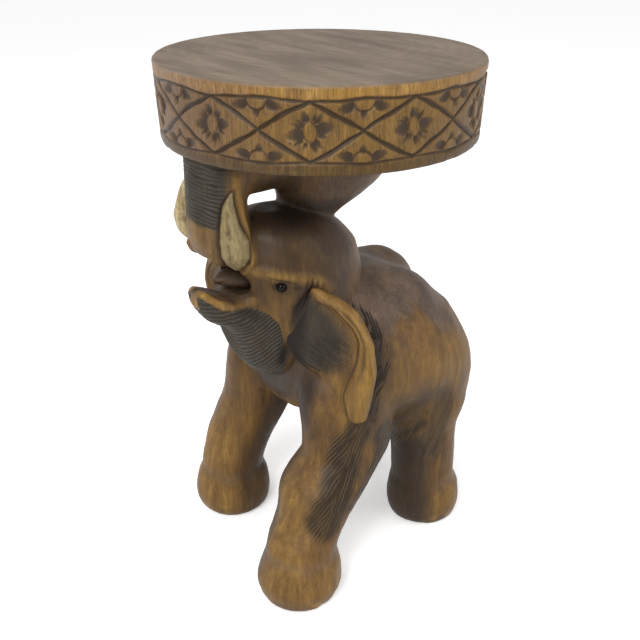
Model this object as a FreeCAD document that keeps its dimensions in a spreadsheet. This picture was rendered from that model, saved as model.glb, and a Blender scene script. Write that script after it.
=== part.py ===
"""Carved wooden elephant stool: a standing elephant carries a round seat on its raised trunk and crown.

Millimetres, +Z up, the floor at Z 0 and the seat's axis on X 0, Y 0. The elephant faces -Y and its
left side is +X. Carved masses are lofts through ellipses whose sizes are cells of the sheet "Sizes".
"""
import FreeCAD, Part
import os

import Sketcher
from FreeCAD import Vector

document = FreeCAD.newDocument("ElephantStool")
sheet = document.addObject("Spreadsheet::Sheet", "Sizes")


def write_size(alias, size):
    """Puts one driving size into the next free row of the sheet."""
    write_size.row += 1
    sheet.set(f"A{write_size.row}", alias)
    sheet.set(f"B{write_size.row}", str(size))
    sheet.setAlias(f"B{write_size.row}", alias)


write_size.row = 0

SIZES = {
    # Seat: a round slab, slightly wider at its top edge
    "seat_top_radius": 140,
    "seat_bottom_radius": 137,
    "seat_thickness": 67,
    "seat_edge_round": 2.5,
    "rim_line_width": 3,
    "rim_line_depth": 2,
    "upper_line_drop": 11,
    "lower_line_rise": 10,
    # Carving on the rim: channels through eleven crossings, a flower or two leaves between them
    "rim_middle": 33.5,
    "channel_climb": 30,
    "channel_depth": 2.2,
    "pit_half_depth": 2.4,
    "pit_middle_lift": 0.4,
    # Heights that stack up from the floor to the seat
    "ankle_height": 50,
    "belly_height": 104,
    "neck_seat_rise": 90,
    "head_height": 199,
    # Middle planes of the body and of the head
    "body_middle": 12,
    "head_middle": 6,
    # Joints
    "fit_clearance": 0.12,
    "dowel_radius": 7,
    "dowel_clearance": 0.1,
    "seat_dowel_into_seat": 26,
    "seat_dowel_into_head": 30,
    "neck_dowel_into_head": 26,
    "neck_dowel_into_body": 28,
    "neck_dowel_spread": 22,
    "neck_dowel_back": -8,
    # Eyes: glass beads let into drilled seats
    "eye_radius": 4.6,
    "eye_out": 42.6,
    "eye_back": -79,
    "eye_rise": 89.5,
}

# Turns of the rim's crossings about the seat's axis, hand spaced in front and even behind
RIM_CROSSINGS = (-57.4, -24.7, 9.3, 41.9, 74.5, 107.1, 139.7, 172.2, 204.8, 237.4, 270)

# Main pits of a flower in each lozenge.
# pit: (bearing round the flower, distance from its middle, half length, half width)
FLOWER_PITS = {
    "right": (5, 12.6, 4.8, 3.3),
    "top": (94, 12.4, 3.6, 3),
    "left": (176, 12.6, 4.8, 3.5),
    "bottom": (268, 13, 3.4, 3),
}
# Two leaf pits in each triangle above and below a crossing.
LEAF_PIT = {"out": 12.3, "from_line": 7.5, "half_length": 5, "half_width": 3.3}

# Torso: upright rings from the breast to the rump.
# ring: (along Y, lift over the torso's middle height, half width, half height)
TORSO = {
    "breast": (-66, 8, 30, 28),
    "chest": (-56, 11, 62, 48),
    "shoulders": (-30, 13, 86, 60),
    "girth": (10, 4, 95, 82),
    "loin": (50, -2, 96, 82),
    "hips": (85, -11, 92, 75),
    "haunches": (110, -21, 83.5, 67),
    "rump": (125, -31, 71.5, 57),
    "seat_bone": (133, -39, 54, 46),
    "buttock": (136.5, -43, 16, 16),
}

# Legs: flat rings from the sole to the inside of the torso.
# ring: (X of the middle, Y of the middle, half width, half depth)
LEGS = {
    "front_left": {
        "sole": (93, -97, 32, 32),
        "toes": (93, -97, 36, 36),
        "flare": (93, -97, 38.5, 38.5),
        "instep": (93.5, -95.5, 36, 36),
        "ankle": (93, -94, 32, 32),
        "shin": (89, -77, 33, 33.5),
        "knee": (82.5, -56, 37.5, 43.5),
        "forearm": (80, -31, 34, 45),
        "shoulder": (69, -27, 35, 45),
        "top": (52, -22, 28, 34),
    },
    "front_right": {
        "sole": (-60, -69, 33, 33),
        "toes": (-60, -69, 37, 37),
        "flare": (-60, -69, 38.5, 38.5),
        "instep": (-60, -69, 36, 36),
        "ankle": (-60, -68, 31.5, 31.5),
        "shin": (-60, -59, 33, 33.5),
        "knee": (-57, -46, 34.5, 37),
        "forearm": (-51, -35, 34, 39.5),
        "shoulder": (-46, -29, 34.5, 43),
        "top": (-42, -24, 28, 34),
    },
    "rear_left": {
        "sole": (73.5, 77, 31, 31),
        "toes": (73.5, 77, 35, 35),
        "flare": (73.5, 77, 37, 37),
        "instep": (73.5, 77, 35.5, 35.5),
        "ankle": (73, 75.5, 31.5, 31.5),
        "shin": (72, 75, 32, 32),
        "knee": (70, 74.5, 33, 35),
        "forearm": (67, 79, 38, 43),
        "shoulder": (58, 76, 37, 43),
        "top": (50, 76, 28, 34),
    },
    "rear_right": {
        "sole": (-50, 86, 32, 32),
        "toes": (-50, 86, 35.5, 35.5),
        "flare": (-50, 86, 37, 37),
        "instep": (-50, 86, 35.5, 35.5),
        "ankle": (-50, 85, 32.5, 32.5),
        "shin": (-50, 84, 34, 34),
        "knee": (-49, 84, 38, 38),
        "forearm": (-44, 84, 40, 44),
        "shoulder": (-36, 82, 38, 46),
        "top": (-26, 78, 28, 34),
    },
}
# Heights of the leg rings: the foot's own levels, then levels tied to the ankle and the belly
FOOT_LEVELS = {"sole": 0, "toes": 7, "flare": 19, "instep": 34}
THIGH_RISES = {"forearm": 28, "shoulder": 70, "top": 116}

# Two rounded humps on the back, either side of the spine; the right one lies further back and lower.
# hump: (out from the body's middle, along Y, rise over the belly, half width, half length, half height)
HIPS = {
    "left_hip": (34, 46, 112, 38, 49, 50),
    "right_hip": (36, 80, 98, 38, 58, 57),
}

# Skull with its neck: flat rings that rise from the seat cut into the torso.
# ring: (rise over the neck seat, Y of the middle, half width, half depth)
SKULL = {
    "neck_base": (0, -8, 50, 56),
    "neck": (26, -22, 56, 57),
    "nape": (54, -32, 58, 62),
    "temples": (82, -37, 57, 66),
    "brow": (104, -41, 55, 64),
    "forehead": (123, -46, 48, 54),
    "crown": (136, -53, 36, 41),
    "crown_top": (144, -57, 14, 17),
}

# Lower jaw and throat pouch: upright rings from the tip of the lip back into the neck.
# ring: (along Y, rise of the middle over the neck seat, half width, half height)
JAW = {
    "lip_tip": (-139, 80.5, 8, 6),
    "lip": (-134, 77, 16, 11),
    "spout": (-124, 70.5, 22, 16.5),
    "chin": (-112, 63.5, 27, 15),
    "pouch_front": (-104, 58, 30, 20),
    "pouch": (-93, 43, 36, 36),
    "pouch_rear": (-76, 34, 41, 43),
    "throat": (-54, 28, 44, 46),
    "throat_end": (-30, 26, 40, 24),
}

# Mouth: an ellipsoid hollow between the snout and the lower jaw, its rear end lower by the tilt.
MOUTH = {"back": -109, "rise": 91, "half_width": 24, "half_length": 38, "half_height": 12, "tilt": 14}

# Tongue: upright rings from its tip back into the wall of the mouth.
# ring: (along Y, rise of the middle over the neck seat, half width, half height)
TONGUE = {
    "tip": (-119, 91, 2, 2),
    "blade": (-113, 91, 7, 5),
    "broad": (-104, 90, 11, 8),
    "back": (-92, 88, 14, 9.5),
    "root": (-72, 84, 14, 9),
}

# Trunk: flat rings from the snout up to the seat.
# ring: (rise over the neck seat, Y of the middle, half width, half depth)
TRUNK = {
    "snout_low": (108, -99, 25, 16),
    "snout": (119, -107, 31, 24),
    "root": (136, -111, 31, 25),
    "middle": (156, -112, 28.5, 24),
    "upper": (176, -112, 27, 24),
    "end": (203, -110, 28, 26),
}

# Column: flat rings from the crown up to the seat, waisted at its foot and spread to the rear.
# ring: (rise over the neck seat, Y of the middle, half width, half depth)
COLUMN = {
    "foot": (110, -21, 21, 17),
    "waist": (129, -19, 24, 21),
    "flare_low": (138, -14, 28, 29),
    "flare": (147, -5, 33, 41),
    "shelf": (158, 4, 37, 53),
    "drum": (174, 9, 42, 62),
    "end": (203, 10, 46, 68),
}

# Bar under the seat that joins the trunk's top to the column.
BAR = {"rise": 192, "half_width": 27, "half_height": 31}

# Ears: flat rings down a blade that swings about an upright line at its root.
# ring: (along the blade from the root, off the blade's plane, rise over the neck seat,
#        half length, half thickness)
EAR = {
    "top": (18, 0, 88, 3, 2.5),
    "shoulder": (26.5, 0, 77, 17, 6),
    "upper": (30.5, 1, 68, 25, 7.5),
    "broad": (31, 2, 54, 33, 9),
    "middle": (32, 4, 38, 38.5, 10),
    "lower": (37, 6, 22, 36, 10),
    "fold": (49.5, 9.5, 6, 23, 9),
    "lobe": (53, 11.5, -8, 17.5, 8),
    "lobe_low": (56.5, 14, -20, 10, 6),
    "tip": (58.5, 15, -28, 3, 2.5),
}
EAR_ROOT = {"out": 44, "y": -66}
# Each ear's turn outwards from straight across, and how far its lower rings follow the ring table
EAR_TURNS = {"left_ear": 38, "right_ear": 3}
EAR_LEANS = {"left_ear": 1, "right_ear": -1.6}

# Tusks: flat rings from the butt up to the tip.
# ring: (out from the head's middle, Y, rise over the neck seat, half width, half depth)
LEFT_TUSK = {
    "butt_end": (25, -111, 108, 3, 3),
    "butt": (25.5, -111.5, 114, 8.5, 8.5),
    "belly": (26, -112.5, 124, 12, 12),
    "middle": (26, -114, 136, 11.5, 11.5),
    "neck": (28, -117, 149, 8, 8),
    "point": (27.5, -116.5, 162, 4.5, 4.5),
    "tip": (25.5, -112, 175, 1, 1),
}
RIGHT_TUSK = {
    "butt_end": (25, -117, 119, 3, 3),
    "butt": (26.5, -119.5, 125, 8.5, 8.5),
    "belly": (27.5, -122, 135, 12, 12),
    "middle": (28, -124, 147, 11.5, 11.5),
    "neck": (27, -124.5, 159, 8, 8),
    "point": (25.5, -123.5, 171, 4.5, 4.5),
    "tip": (23, -120, 183, 1, 1),
}

# Tail: flat rings from the rump down, carved against the body.
# ring: (rise over the belly, Y of the middle, half width, half depth)
TAIL = {
    "tuft_end": (6, 127, 4, 4),
    "tuft": (18, 131, 8, 8),
    "switch": (40, 132.5, 5.5, 6),
    "dock": (76, 132, 6.5, 6.5),
    "root": (104, 127, 8, 8),
}

for alias, size in SIZES.items():
    write_size(alias, size)
for ring, (along, lift, half_width, half_height) in TORSO.items():
    write_size(f"torso_{ring}_along", along)
    write_size(f"torso_{ring}_lift", lift)
    write_size(f"torso_{ring}_half_width", half_width)
    write_size(f"torso_{ring}_half_height", half_height)
for leg, rings in LEGS.items():
    for ring, (middle_x, middle_y, half_width, half_depth) in rings.items():
        write_size(f"{leg}_{ring}_x", middle_x)
        write_size(f"{leg}_{ring}_y", middle_y)
        write_size(f"{leg}_{ring}_half_width", half_width)
        write_size(f"{leg}_{ring}_half_depth", half_depth)
for ring, level in FOOT_LEVELS.items():
    write_size(f"foot_{ring}_level", level)
for ring, rise in THIGH_RISES.items():
    write_size(f"leg_{ring}_rise", rise)
for hip, (out, back, rise, half_width, half_length, half_height) in HIPS.items():
    write_size(f"{hip}_out", out)
    write_size(f"{hip}_back", back)
    write_size(f"{hip}_rise", rise)
    write_size(f"{hip}_half_width", half_width)
    write_size(f"{hip}_half_length", half_length)
    write_size(f"{hip}_half_height", half_height)
for form, rings in {"skull": SKULL, "trunk": TRUNK, "column": COLUMN, "tail": TAIL}.items():
    for ring, (rise, middle_y, half_width, half_depth) in rings.items():
        write_size(f"{form}_{ring}_rise", rise)
        write_size(f"{form}_{ring}_y", middle_y)
        write_size(f"{form}_{ring}_half_width", half_width)
        write_size(f"{form}_{ring}_half_depth", half_depth)
for form, rings in {"jaw": JAW, "tongue": TONGUE}.items():
    for ring, (along, rise, half_width, half_height) in rings.items():
        write_size(f"{form}_{ring}_along", along)
        write_size(f"{form}_{ring}_rise", rise)
        write_size(f"{form}_{ring}_half_width", half_width)
        write_size(f"{form}_{ring}_half_height", half_height)
for number, turn in enumerate(RIM_CROSSINGS, 1):
    write_size(f"crossing_{number}_turn", turn)
for pit, (bearing, away, half_length, half_width) in FLOWER_PITS.items():
    write_size(f"flower_{pit}_bearing", bearing)
    write_size(f"flower_{pit}_away", away)
    write_size(f"flower_{pit}_half_length", half_length)
    write_size(f"flower_{pit}_half_width", half_width)
for form, sizes in {"bar": BAR, "mouth": MOUTH, "leaf": LEAF_PIT}.items():
    for name, size in sizes.items():
        write_size(f"{form}_{name}", size)
for ring, (along, off, rise, half_length, half_thickness) in EAR.items():
    write_size(f"ear_{ring}_along", along)
    write_size(f"ear_{ring}_off", off)
    write_size(f"ear_{ring}_rise", rise)
    write_size(f"ear_{ring}_half_length", half_length)
    write_size(f"ear_{ring}_half_thickness", half_thickness)
for name, size in EAR_ROOT.items():
    write_size(f"ear_root_{name}", size)
for name, size in EAR_TURNS.items():
    write_size(f"{name}_turn", size)
for name, share in EAR_LEANS.items():
    write_size(f"{name}_lean", share)
for tusk, rings in {"left_tusk": LEFT_TUSK, "right_tusk": RIGHT_TUSK}.items():
    for ring, (out, middle_y, rise, half_width, half_depth) in rings.items():
        write_size(f"{tusk}_{ring}_out", out)
        write_size(f"{tusk}_{ring}_y", middle_y)
        write_size(f"{tusk}_{ring}_rise", rise)
        write_size(f"{tusk}_{ring}_half_width", half_width)
        write_size(f"{tusk}_{ring}_half_depth", half_depth)
document.recompute()

# Heights worked out from the stack
NECK_SEAT = "(Sizes.belly_height + Sizes.neck_seat_rise)"
SEAT_UNDERSIDE = f"({NECK_SEAT} + Sizes.head_height)"
TORSO_MIDDLE = "(Sizes.belly_height + Sizes.torso_loin_half_height)"

# Ways a ring can lie: flat is square to Z, upright is square to Y
FLAT = "rotation(vector(0; 0; 1); 0)"
UPRIGHT = "rotation(vector(1; 0; 0); 90)"


def ring_ellipse(name, centre, half_across, half_up, lie=FLAT, carrier=""):
    """An ellipse whose two half axes may be either way round in length.

    carrier: an expression for a placement that the whole ring rides on.
    """
    ellipse = document.addObject("Part::Ellipse", name)
    ellipse.setExpression("MajorRadius", f"max({half_across}; {half_up})")
    ellipse.setExpression("MinorRadius", f"min({half_across}; {half_up})")
    spin = f"rotation(vector(0; 0; 1); {half_across} > {half_up} ? 0 : 90)"
    middle = "; ".join(centre)
    ellipse.setExpression("Placement", f"{carrier}placement(vector({middle}); {lie} * {spin})")
    return ellipse


def loft(name, rings):
    """A closed smooth loft through ellipses."""
    form = document.addObject("Part::Loft", name)
    form.Sections = rings
    form.Solid = True
    form.Ruled = False
    form.Closed = False
    form.MaxDegree = 3
    return form


def fuse(name, shapes):
    """One solid made of several overlapping ones."""
    union = document.addObject("Part::MultiFuse", name)
    union.Shapes = shapes
    return union


def cut(name, base, tools):
    """Base with every tool taken away, one after the other."""
    for number, tool in enumerate(tools, 1):
        taken = document.addObject("Part::Cut", f"{name}_{number}")
        taken.Base = base
        taken.Tool = tool
        base = taken
    return base


def grown(size, grow):
    """A size with the fit clearance added, for the tool that cuts a seat."""
    return f"({size} + {grow})" if grow else f"({size})"


def torso_form():
    rings = []
    for ring in TORSO:
        cell = f"Sizes.torso_{ring}"
        centre = ("Sizes.body_middle", f"{cell}_along", f"{TORSO_MIDDLE} + {cell}_lift")
        size = (f"{cell}_half_width", f"{cell}_half_height")
        rings.append(ring_ellipse(f"torso_{ring}", centre, *size, UPRIGHT))
    return loft("torso", rings)


def leg_level(ring):
    """Height of a leg ring: on the foot, at the ankle, between ankle and belly, or in the torso."""
    if ring in FOOT_LEVELS:
        return f"Sizes.foot_{ring}_level"
    if ring in THIGH_RISES:
        return f"Sizes.belly_height + Sizes.leg_{ring}_rise"
    if ring == "ankle":
        return "Sizes.ankle_height"
    if ring == "shin":
        return "(Sizes.ankle_height + Sizes.belly_height) / 2"
    return "Sizes.belly_height"


def leg_form(leg):
    rings = []
    for ring in LEGS[leg]:
        cell = f"Sizes.{leg}_{ring}"
        centre = (f"{cell}_x", f"{cell}_y", leg_level(ring))
        size = (f"{cell}_half_width", f"{cell}_half_depth")
        rings.append(ring_ellipse(f"{leg}_{ring}", centre, *size))
    return loft(f"{leg}_leg", rings)


def hip_form(name, side):
    """An ellipsoid lying with its poles left and right, inside the torso."""
    hump = document.addObject("Part::Ellipsoid", name)
    hump.setExpression("Radius1", f"Sizes.{name}_half_width")
    hump.setExpression("Radius2", f"Sizes.{name}_half_height")
    hump.setExpression("Radius3", f"Sizes.{name}_half_length")
    hump.setExpression("Placement.Base.x", f"Sizes.body_middle + {side} * Sizes.{name}_out")
    hump.setExpression("Placement.Base.y", f"Sizes.{name}_back")
    hump.setExpression("Placement.Base.z", f"Sizes.belly_height + Sizes.{name}_rise")
    hump.Placement.Rotation = FreeCAD.Rotation(Vector(0, 1, 0), 90)
    return hump


def tail_form():
    rings = []
    for ring in TAIL:
        cell = f"Sizes.tail_{ring}"
        centre = ("Sizes.body_middle", f"{cell}_y", f"Sizes.belly_height + {cell}_rise")
        size = (f"{cell}_half_width", f"{cell}_half_depth")
        rings.append(ring_ellipse(f"tail_{ring}", centre, *size))
    return loft("tail", rings)


def head_form(form, table, grow=""):
    """Skull, trunk or column: flat rings over the neck seat."""
    rings = []
    tag = "_seat" if grow else ""
    for ring in table:
        cell = f"Sizes.{form}_{ring}"
        centre = ("Sizes.head_middle", f"{cell}_y", f"{NECK_SEAT} + {cell}_rise")
        size = (grown(f"{cell}_half_width", grow), grown(f"{cell}_half_depth", grow))
        rings.append(ring_ellipse(f"{form}_{ring}{tag}", centre, *size))
    return loft(f"{form}{tag}", rings)


def upright_form(form, table, grow=""):
    """Jaw or tongue: upright rings along Y."""
    rings = []
    tag = "_seat" if grow else ""
    for ring in table:
        cell = f"Sizes.{form}_{ring}"
        centre = ("Sizes.head_middle", f"{cell}_along", f"{NECK_SEAT} + {cell}_rise")
        size = (grown(f"{cell}_half_width", grow), grown(f"{cell}_half_height", grow))
        rings.append(ring_ellipse(f"{form}_{ring}{tag}", centre, *size, UPRIGHT))
    return loft(f"{form}{tag}", rings)


def bar_form():
    """The bar runs from the trunk's middle to the column's middle."""
    rings = []
    for end, place in {"front": "Sizes.trunk_end_y", "rear": "Sizes.column_waist_y"}.items():
        centre = ("Sizes.head_middle", place, f"{NECK_SEAT} + Sizes.bar_rise")
        size = ("Sizes.bar_half_width", "Sizes.bar_half_height")
        rings.append(ring_ellipse(f"bar_{end}", centre, *size, UPRIGHT))
    return loft("bar", rings)


def mouth_form():
    """The hollow is an ellipsoid tilted about X."""
    hollow = document.addObject("Part::Ellipsoid", "mouth_hollow")
    hollow.setExpression("Radius1", "Sizes.mouth_half_height")
    hollow.setExpression("Radius2", "Sizes.mouth_half_width")
    hollow.setExpression("Radius3", "Sizes.mouth_half_length")
    middle = f"vector(Sizes.head_middle; Sizes.mouth_back; {NECK_SEAT} + Sizes.mouth_rise)"
    tilt = "rotation(vector(1; 0; 0); -Sizes.mouth_tilt)"
    hollow.setExpression("Placement", f"placement({middle}; {tilt})")
    return hollow


def ear_form(name, side, grow=""):
    rings = []
    tag = "_seat" if grow else ""
    turn = f"Sizes.{name}_turn" if side > 0 else f"180 - Sizes.{name}_turn"
    root = f"vector(Sizes.head_middle + {side} * Sizes.ear_root_out; Sizes.ear_root_y; {NECK_SEAT})"
    swing = f"placement({root}; rotation(vector(0; 0; 1); {turn})) * "
    for ring in EAR:
        cell = f"Sizes.ear_{ring}"
        centre = (f"{cell}_along", f"{-side} * {cell}_off * Sizes.{name}_lean", f"{cell}_rise")
        size = (grown(f"{cell}_half_length", grow), grown(f"{cell}_half_thickness", grow))
        rings.append(ring_ellipse(f"{name}_{ring}{tag}", centre, *size, carrier=swing))
    return loft(f"{name}_form{tag}", rings)


def tusk_form(name, table, side, grow=""):
    rings = []
    tag = "_seat" if grow else ""
    for ring in table:
        cell = f"Sizes.{name}_{ring}"
        centre = (
            f"Sizes.head_middle + {side} * {cell}_out",
            f"{cell}_y",
            f"{NECK_SEAT} + {cell}_rise",
        )
        size = (grown(f"{cell}_half_width", grow), grown(f"{cell}_half_depth", grow))
        rings.append(ring_ellipse(f"{name}_{ring}{tag}", centre, *size))
    return loft(f"{name}_form{tag}", rings)


def eye_form(name, side, grow=""):
    """A round bead; with a clearance it is the seat drilled for it."""
    bead = document.addObject("Part::Sphere", name)
    bead.setExpression("Radius", grown("Sizes.eye_radius", grow))
    bead.setExpression("Placement.Base.x", f"Sizes.head_middle + {side} * Sizes.eye_out")
    bead.setExpression("Placement.Base.y", "Sizes.eye_back")
    bead.setExpression("Placement.Base.z", f"{NECK_SEAT} + Sizes.eye_rise")
    bead.Placement.Rotation = FreeCAD.Rotation(Vector(0, 1, 0), 90)
    return bead


def dowel(name, place_x, place_y, joint_height, below, above, grow=""):
    """A round pin across a joint; with a clearance it is the hole bored for it."""
    pin = document.addObject("Part::Cylinder", name)
    pin.setExpression("Radius", grown("Sizes.dowel_radius", grow))
    pin.setExpression("Height", f"{below} + {above}" + (f" + 2 * {grow}" if grow else ""))
    pin.setExpression("Placement.Base.x", place_x)
    pin.setExpression("Placement.Base.y", place_y)
    pin.setExpression("Placement.Base.z", f"{joint_height} - {below}" + (f" - {grow}" if grow else ""))
    return pin


def dowel_pair(name, places, joint_height, below, above, grow=""):
    """Two like dowels as one node of two solids, or their two holes."""
    pins = []
    for number, (place_x, place_y) in enumerate(places, 1):
        pins.append(dowel(f"{name}_{number}", place_x, place_y, joint_height, below, above, grow))
    pair = document.addObject("Part::Compound", f"{name}_pair")
    pair.Links = pins
    return pair


SEAT_DOWEL_PLACES = (
    ("Sizes.head_middle", "Sizes.trunk_end_y"),
    ("Sizes.head_middle", "Sizes.column_waist_y"),
)
NECK_DOWEL_PLACES = (
    ("Sizes.head_middle - Sizes.neck_dowel_spread", "Sizes.neck_dowel_back"),
    ("Sizes.head_middle + Sizes.neck_dowel_spread", "Sizes.neck_dowel_back"),
)
SEAT_DOWEL = (SEAT_UNDERSIDE, "Sizes.seat_dowel_into_head", "Sizes.seat_dowel_into_seat")
NECK_DOWEL = (NECK_SEAT, "Sizes.neck_dowel_into_body", "Sizes.neck_dowel_into_head")
FIT = "Sizes.fit_clearance"
DOWEL_FIT = "Sizes.dowel_clearance"
SAME_LEVEL = 1e-4


def origin_plane(body, role):
    """One of the body's own origin planes."""
    return next(feature for feature in body.Origin.OriginFeatures if feature.Role == role)


def closed_sketch(body, name, corners):
    """A closed outline in the body's XZ plane.

    corners: (x, y, expression for x, expression for y); a coordinate of 0 lies on the axis.
    """
    sketch = body.newObject("Sketcher::SketchObject", name)
    sketch.AttachmentSupport = [(origin_plane(body, "XZ_Plane"), "")]
    sketch.MapMode = "FlatFace"
    points = [Vector(x, y, 0) for x, y, _, _ in corners]
    for start, end in zip(points, points[1:] + points[:1]):
        sketch.addGeometry(Part.LineSegment(start, end), False)
    for line in range(len(points)):
        following = (line + 1) % len(points)
        sketch.addConstraint(Sketcher.Constraint("Coincident", line, 2, following, 1))
    for line, (x, y, x_size, y_size) in enumerate(corners):
        for kind, axis, here, size in (("DistanceX", -2, x, x_size), ("DistanceY", -1, y, y_size)):
            if here == 0:
                sketch.addConstraint(Sketcher.Constraint("PointOnObject", line, 1, axis))
                continue
            number = sketch.addConstraint(Sketcher.Constraint(kind, -1, 1, line, 1, here))
            sketch.setExpression(f"Constraints[{number}]", size)
    return sketch


def revolved(body, kind, name, sketch):
    """A full turn of a sketch about the body's Z axis: kind is Revolution or Groove."""
    turn = body.newObject(f"PartDesign::{kind}", name)
    turn.Profile = sketch
    turn.ReferenceAxis = (sketch, ["V_Axis"])
    turn.Angle = 360
    document.recompute()
    return turn


def rim_line(body, name, height, expression):
    """A V-shaped line cut round the seat's rim."""
    width = SIZES["rim_line_width"]
    root = SIZES["seat_bottom_radius"] - SIZES["rim_line_depth"]
    past_rim = SIZES["seat_top_radius"] + SIZES["rim_line_depth"]
    outer = "Sizes.seat_top_radius + Sizes.rim_line_depth"
    corners = (
        (root, height, f"{rim_surface(expression)} - Sizes.rim_line_depth", expression),
        (past_rim, height - width, outer, f"{expression} - Sizes.rim_line_width"),
        (past_rim, height + width, outer, f"{expression} + Sizes.rim_line_width"),
    )
    return revolved(body, "Groove", name, closed_sketch(body, f"{name}_outline", corners))


def rim_surface(height):
    """Radius of the slab's rim at a height over its underside."""
    slope = "(Sizes.seat_top_radius - Sizes.seat_bottom_radius)"
    return f"(Sizes.seat_bottom_radius + {slope} * ({height}) / Sizes.seat_thickness)"


def crossing_turn(number):
    """Turn of a crossing; numbers past the last one go on round the rim."""
    laps, place = divmod(number, len(RIM_CROSSINGS))
    return f"(Sizes.crossing_{place + 1}_turn + {360 * laps})"


def rim_channel(name, crossing, climb):
    """A V-shaped channel through a crossing, from the lower rim line to the upper one.

    It is a loft through squares that stand on the rim's surface with one corner pointing inwards.
    climb: 1 where it climbs with the turn, -1 where it climbs against it.
    """
    here = crossing_turn(crossing)
    upper = "Sizes.seat_thickness - Sizes.upper_line_drop"
    lie = f"rotation(vector(1; 0; 0); -{climb} * (90 - Sizes.channel_climb))"
    squares = []
    for step, share in enumerate((-1, -0.5, 0, 0.5, 1)):
        side = climb if share > 0 else -climb
        turn = f"{here} + {abs(share)} * ({crossing_turn(crossing + side)} - {here}) / 2"
        line = upper if share > 0 else "Sizes.lower_line_rise"
        height = f"Sizes.rim_middle + {abs(share)} * ({line} - Sizes.rim_middle)"
        carrier = f"placement(vector(0; 0; {SEAT_UNDERSIDE}); rotation(vector(0; 0; 1); {turn})) * "
        square = document.addObject("Part::RegularPolygon", f"{name}_{step}")
        square.Polygon = 4
        square.setExpression("Circumradius", "Sizes.channel_depth")
        middle = f"placement(vector({rim_surface(height)}; 0; {height}); {lie})"
        square.setExpression("Placement", f"{carrier}{middle}")
        squares.append(square)
    return loft(name, squares)


def rim_pit(name, turn, across, height, bearing, half_length, half_width):
    """An ellipsoid that cuts a pit in the rim, its long axis at a bearing in the rim's surface."""
    pit = document.addObject("Part::Ellipsoid", name)
    pit.setExpression("Radius1", half_width)
    pit.setExpression("Radius2", "Sizes.pit_half_depth")
    pit.setExpression("Radius3", half_length)
    carrier = f"placement(vector(0; 0; {SEAT_UNDERSIDE}); rotation(vector(0; 0; 1); {turn})) * "
    middle = f"vector({rim_surface(height)} + Sizes.pit_middle_lift; {across}; {height})"
    pit.setExpression("Placement", f"{carrier}placement({middle}; rotation(vector(1; 0; 0); {bearing}))")
    return pit


def flower_pits(crossing):
    """The pits round a flower half way to the next crossing."""
    turn = f"({crossing_turn(crossing)} + {crossing_turn(crossing + 1)}) / 2"
    pits = []
    for pit in FLOWER_PITS:
        cell = f"Sizes.flower_{pit}"
        across = f"{cell}_away * cos({cell}_bearing)"
        height = f"Sizes.rim_middle + {cell}_away * sin({cell}_bearing)"
        shape = (f"{cell}_bearing", f"{cell}_half_length", f"{cell}_half_width")
        pits.append(rim_pit(f"flower_{crossing}_{pit}", turn, across, height, *shape))
    return pits


def leaf_pits(crossing):
    """Two leaves above and two below a crossing."""
    levels = {
        "upper": "Sizes.seat_thickness - Sizes.upper_line_drop - Sizes.leaf_from_line",
        "lower": "Sizes.lower_line_rise + Sizes.leaf_from_line",
    }
    pits = []
    for level, height in levels.items():
        for hand, side in {"right": 1, "left": -1}.items():
            name = f"leaf_{crossing}_{level}_{hand}"
            shape = ("0", "Sizes.leaf_half_length", "Sizes.leaf_half_width")
            pits.append(rim_pit(name, crossing_turn(crossing), f"{side} * Sizes.leaf_out", height, *shape))
    return pits


def rim_edges(shape, thickness):
    """Names of the round edges of the seat's top and underside."""
    names = []
    for number, edge in enumerate(shape.Edges, 1):
        box = edge.BoundBox
        across_seat = box.XLength > SIZES["seat_bottom_radius"]
        on_face = min(abs(box.ZMax), abs(box.ZMin - thickness)) < SAME_LEVEL
        if across_seat and on_face:
            names.append(f"Edge{number}")
    return names


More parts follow.
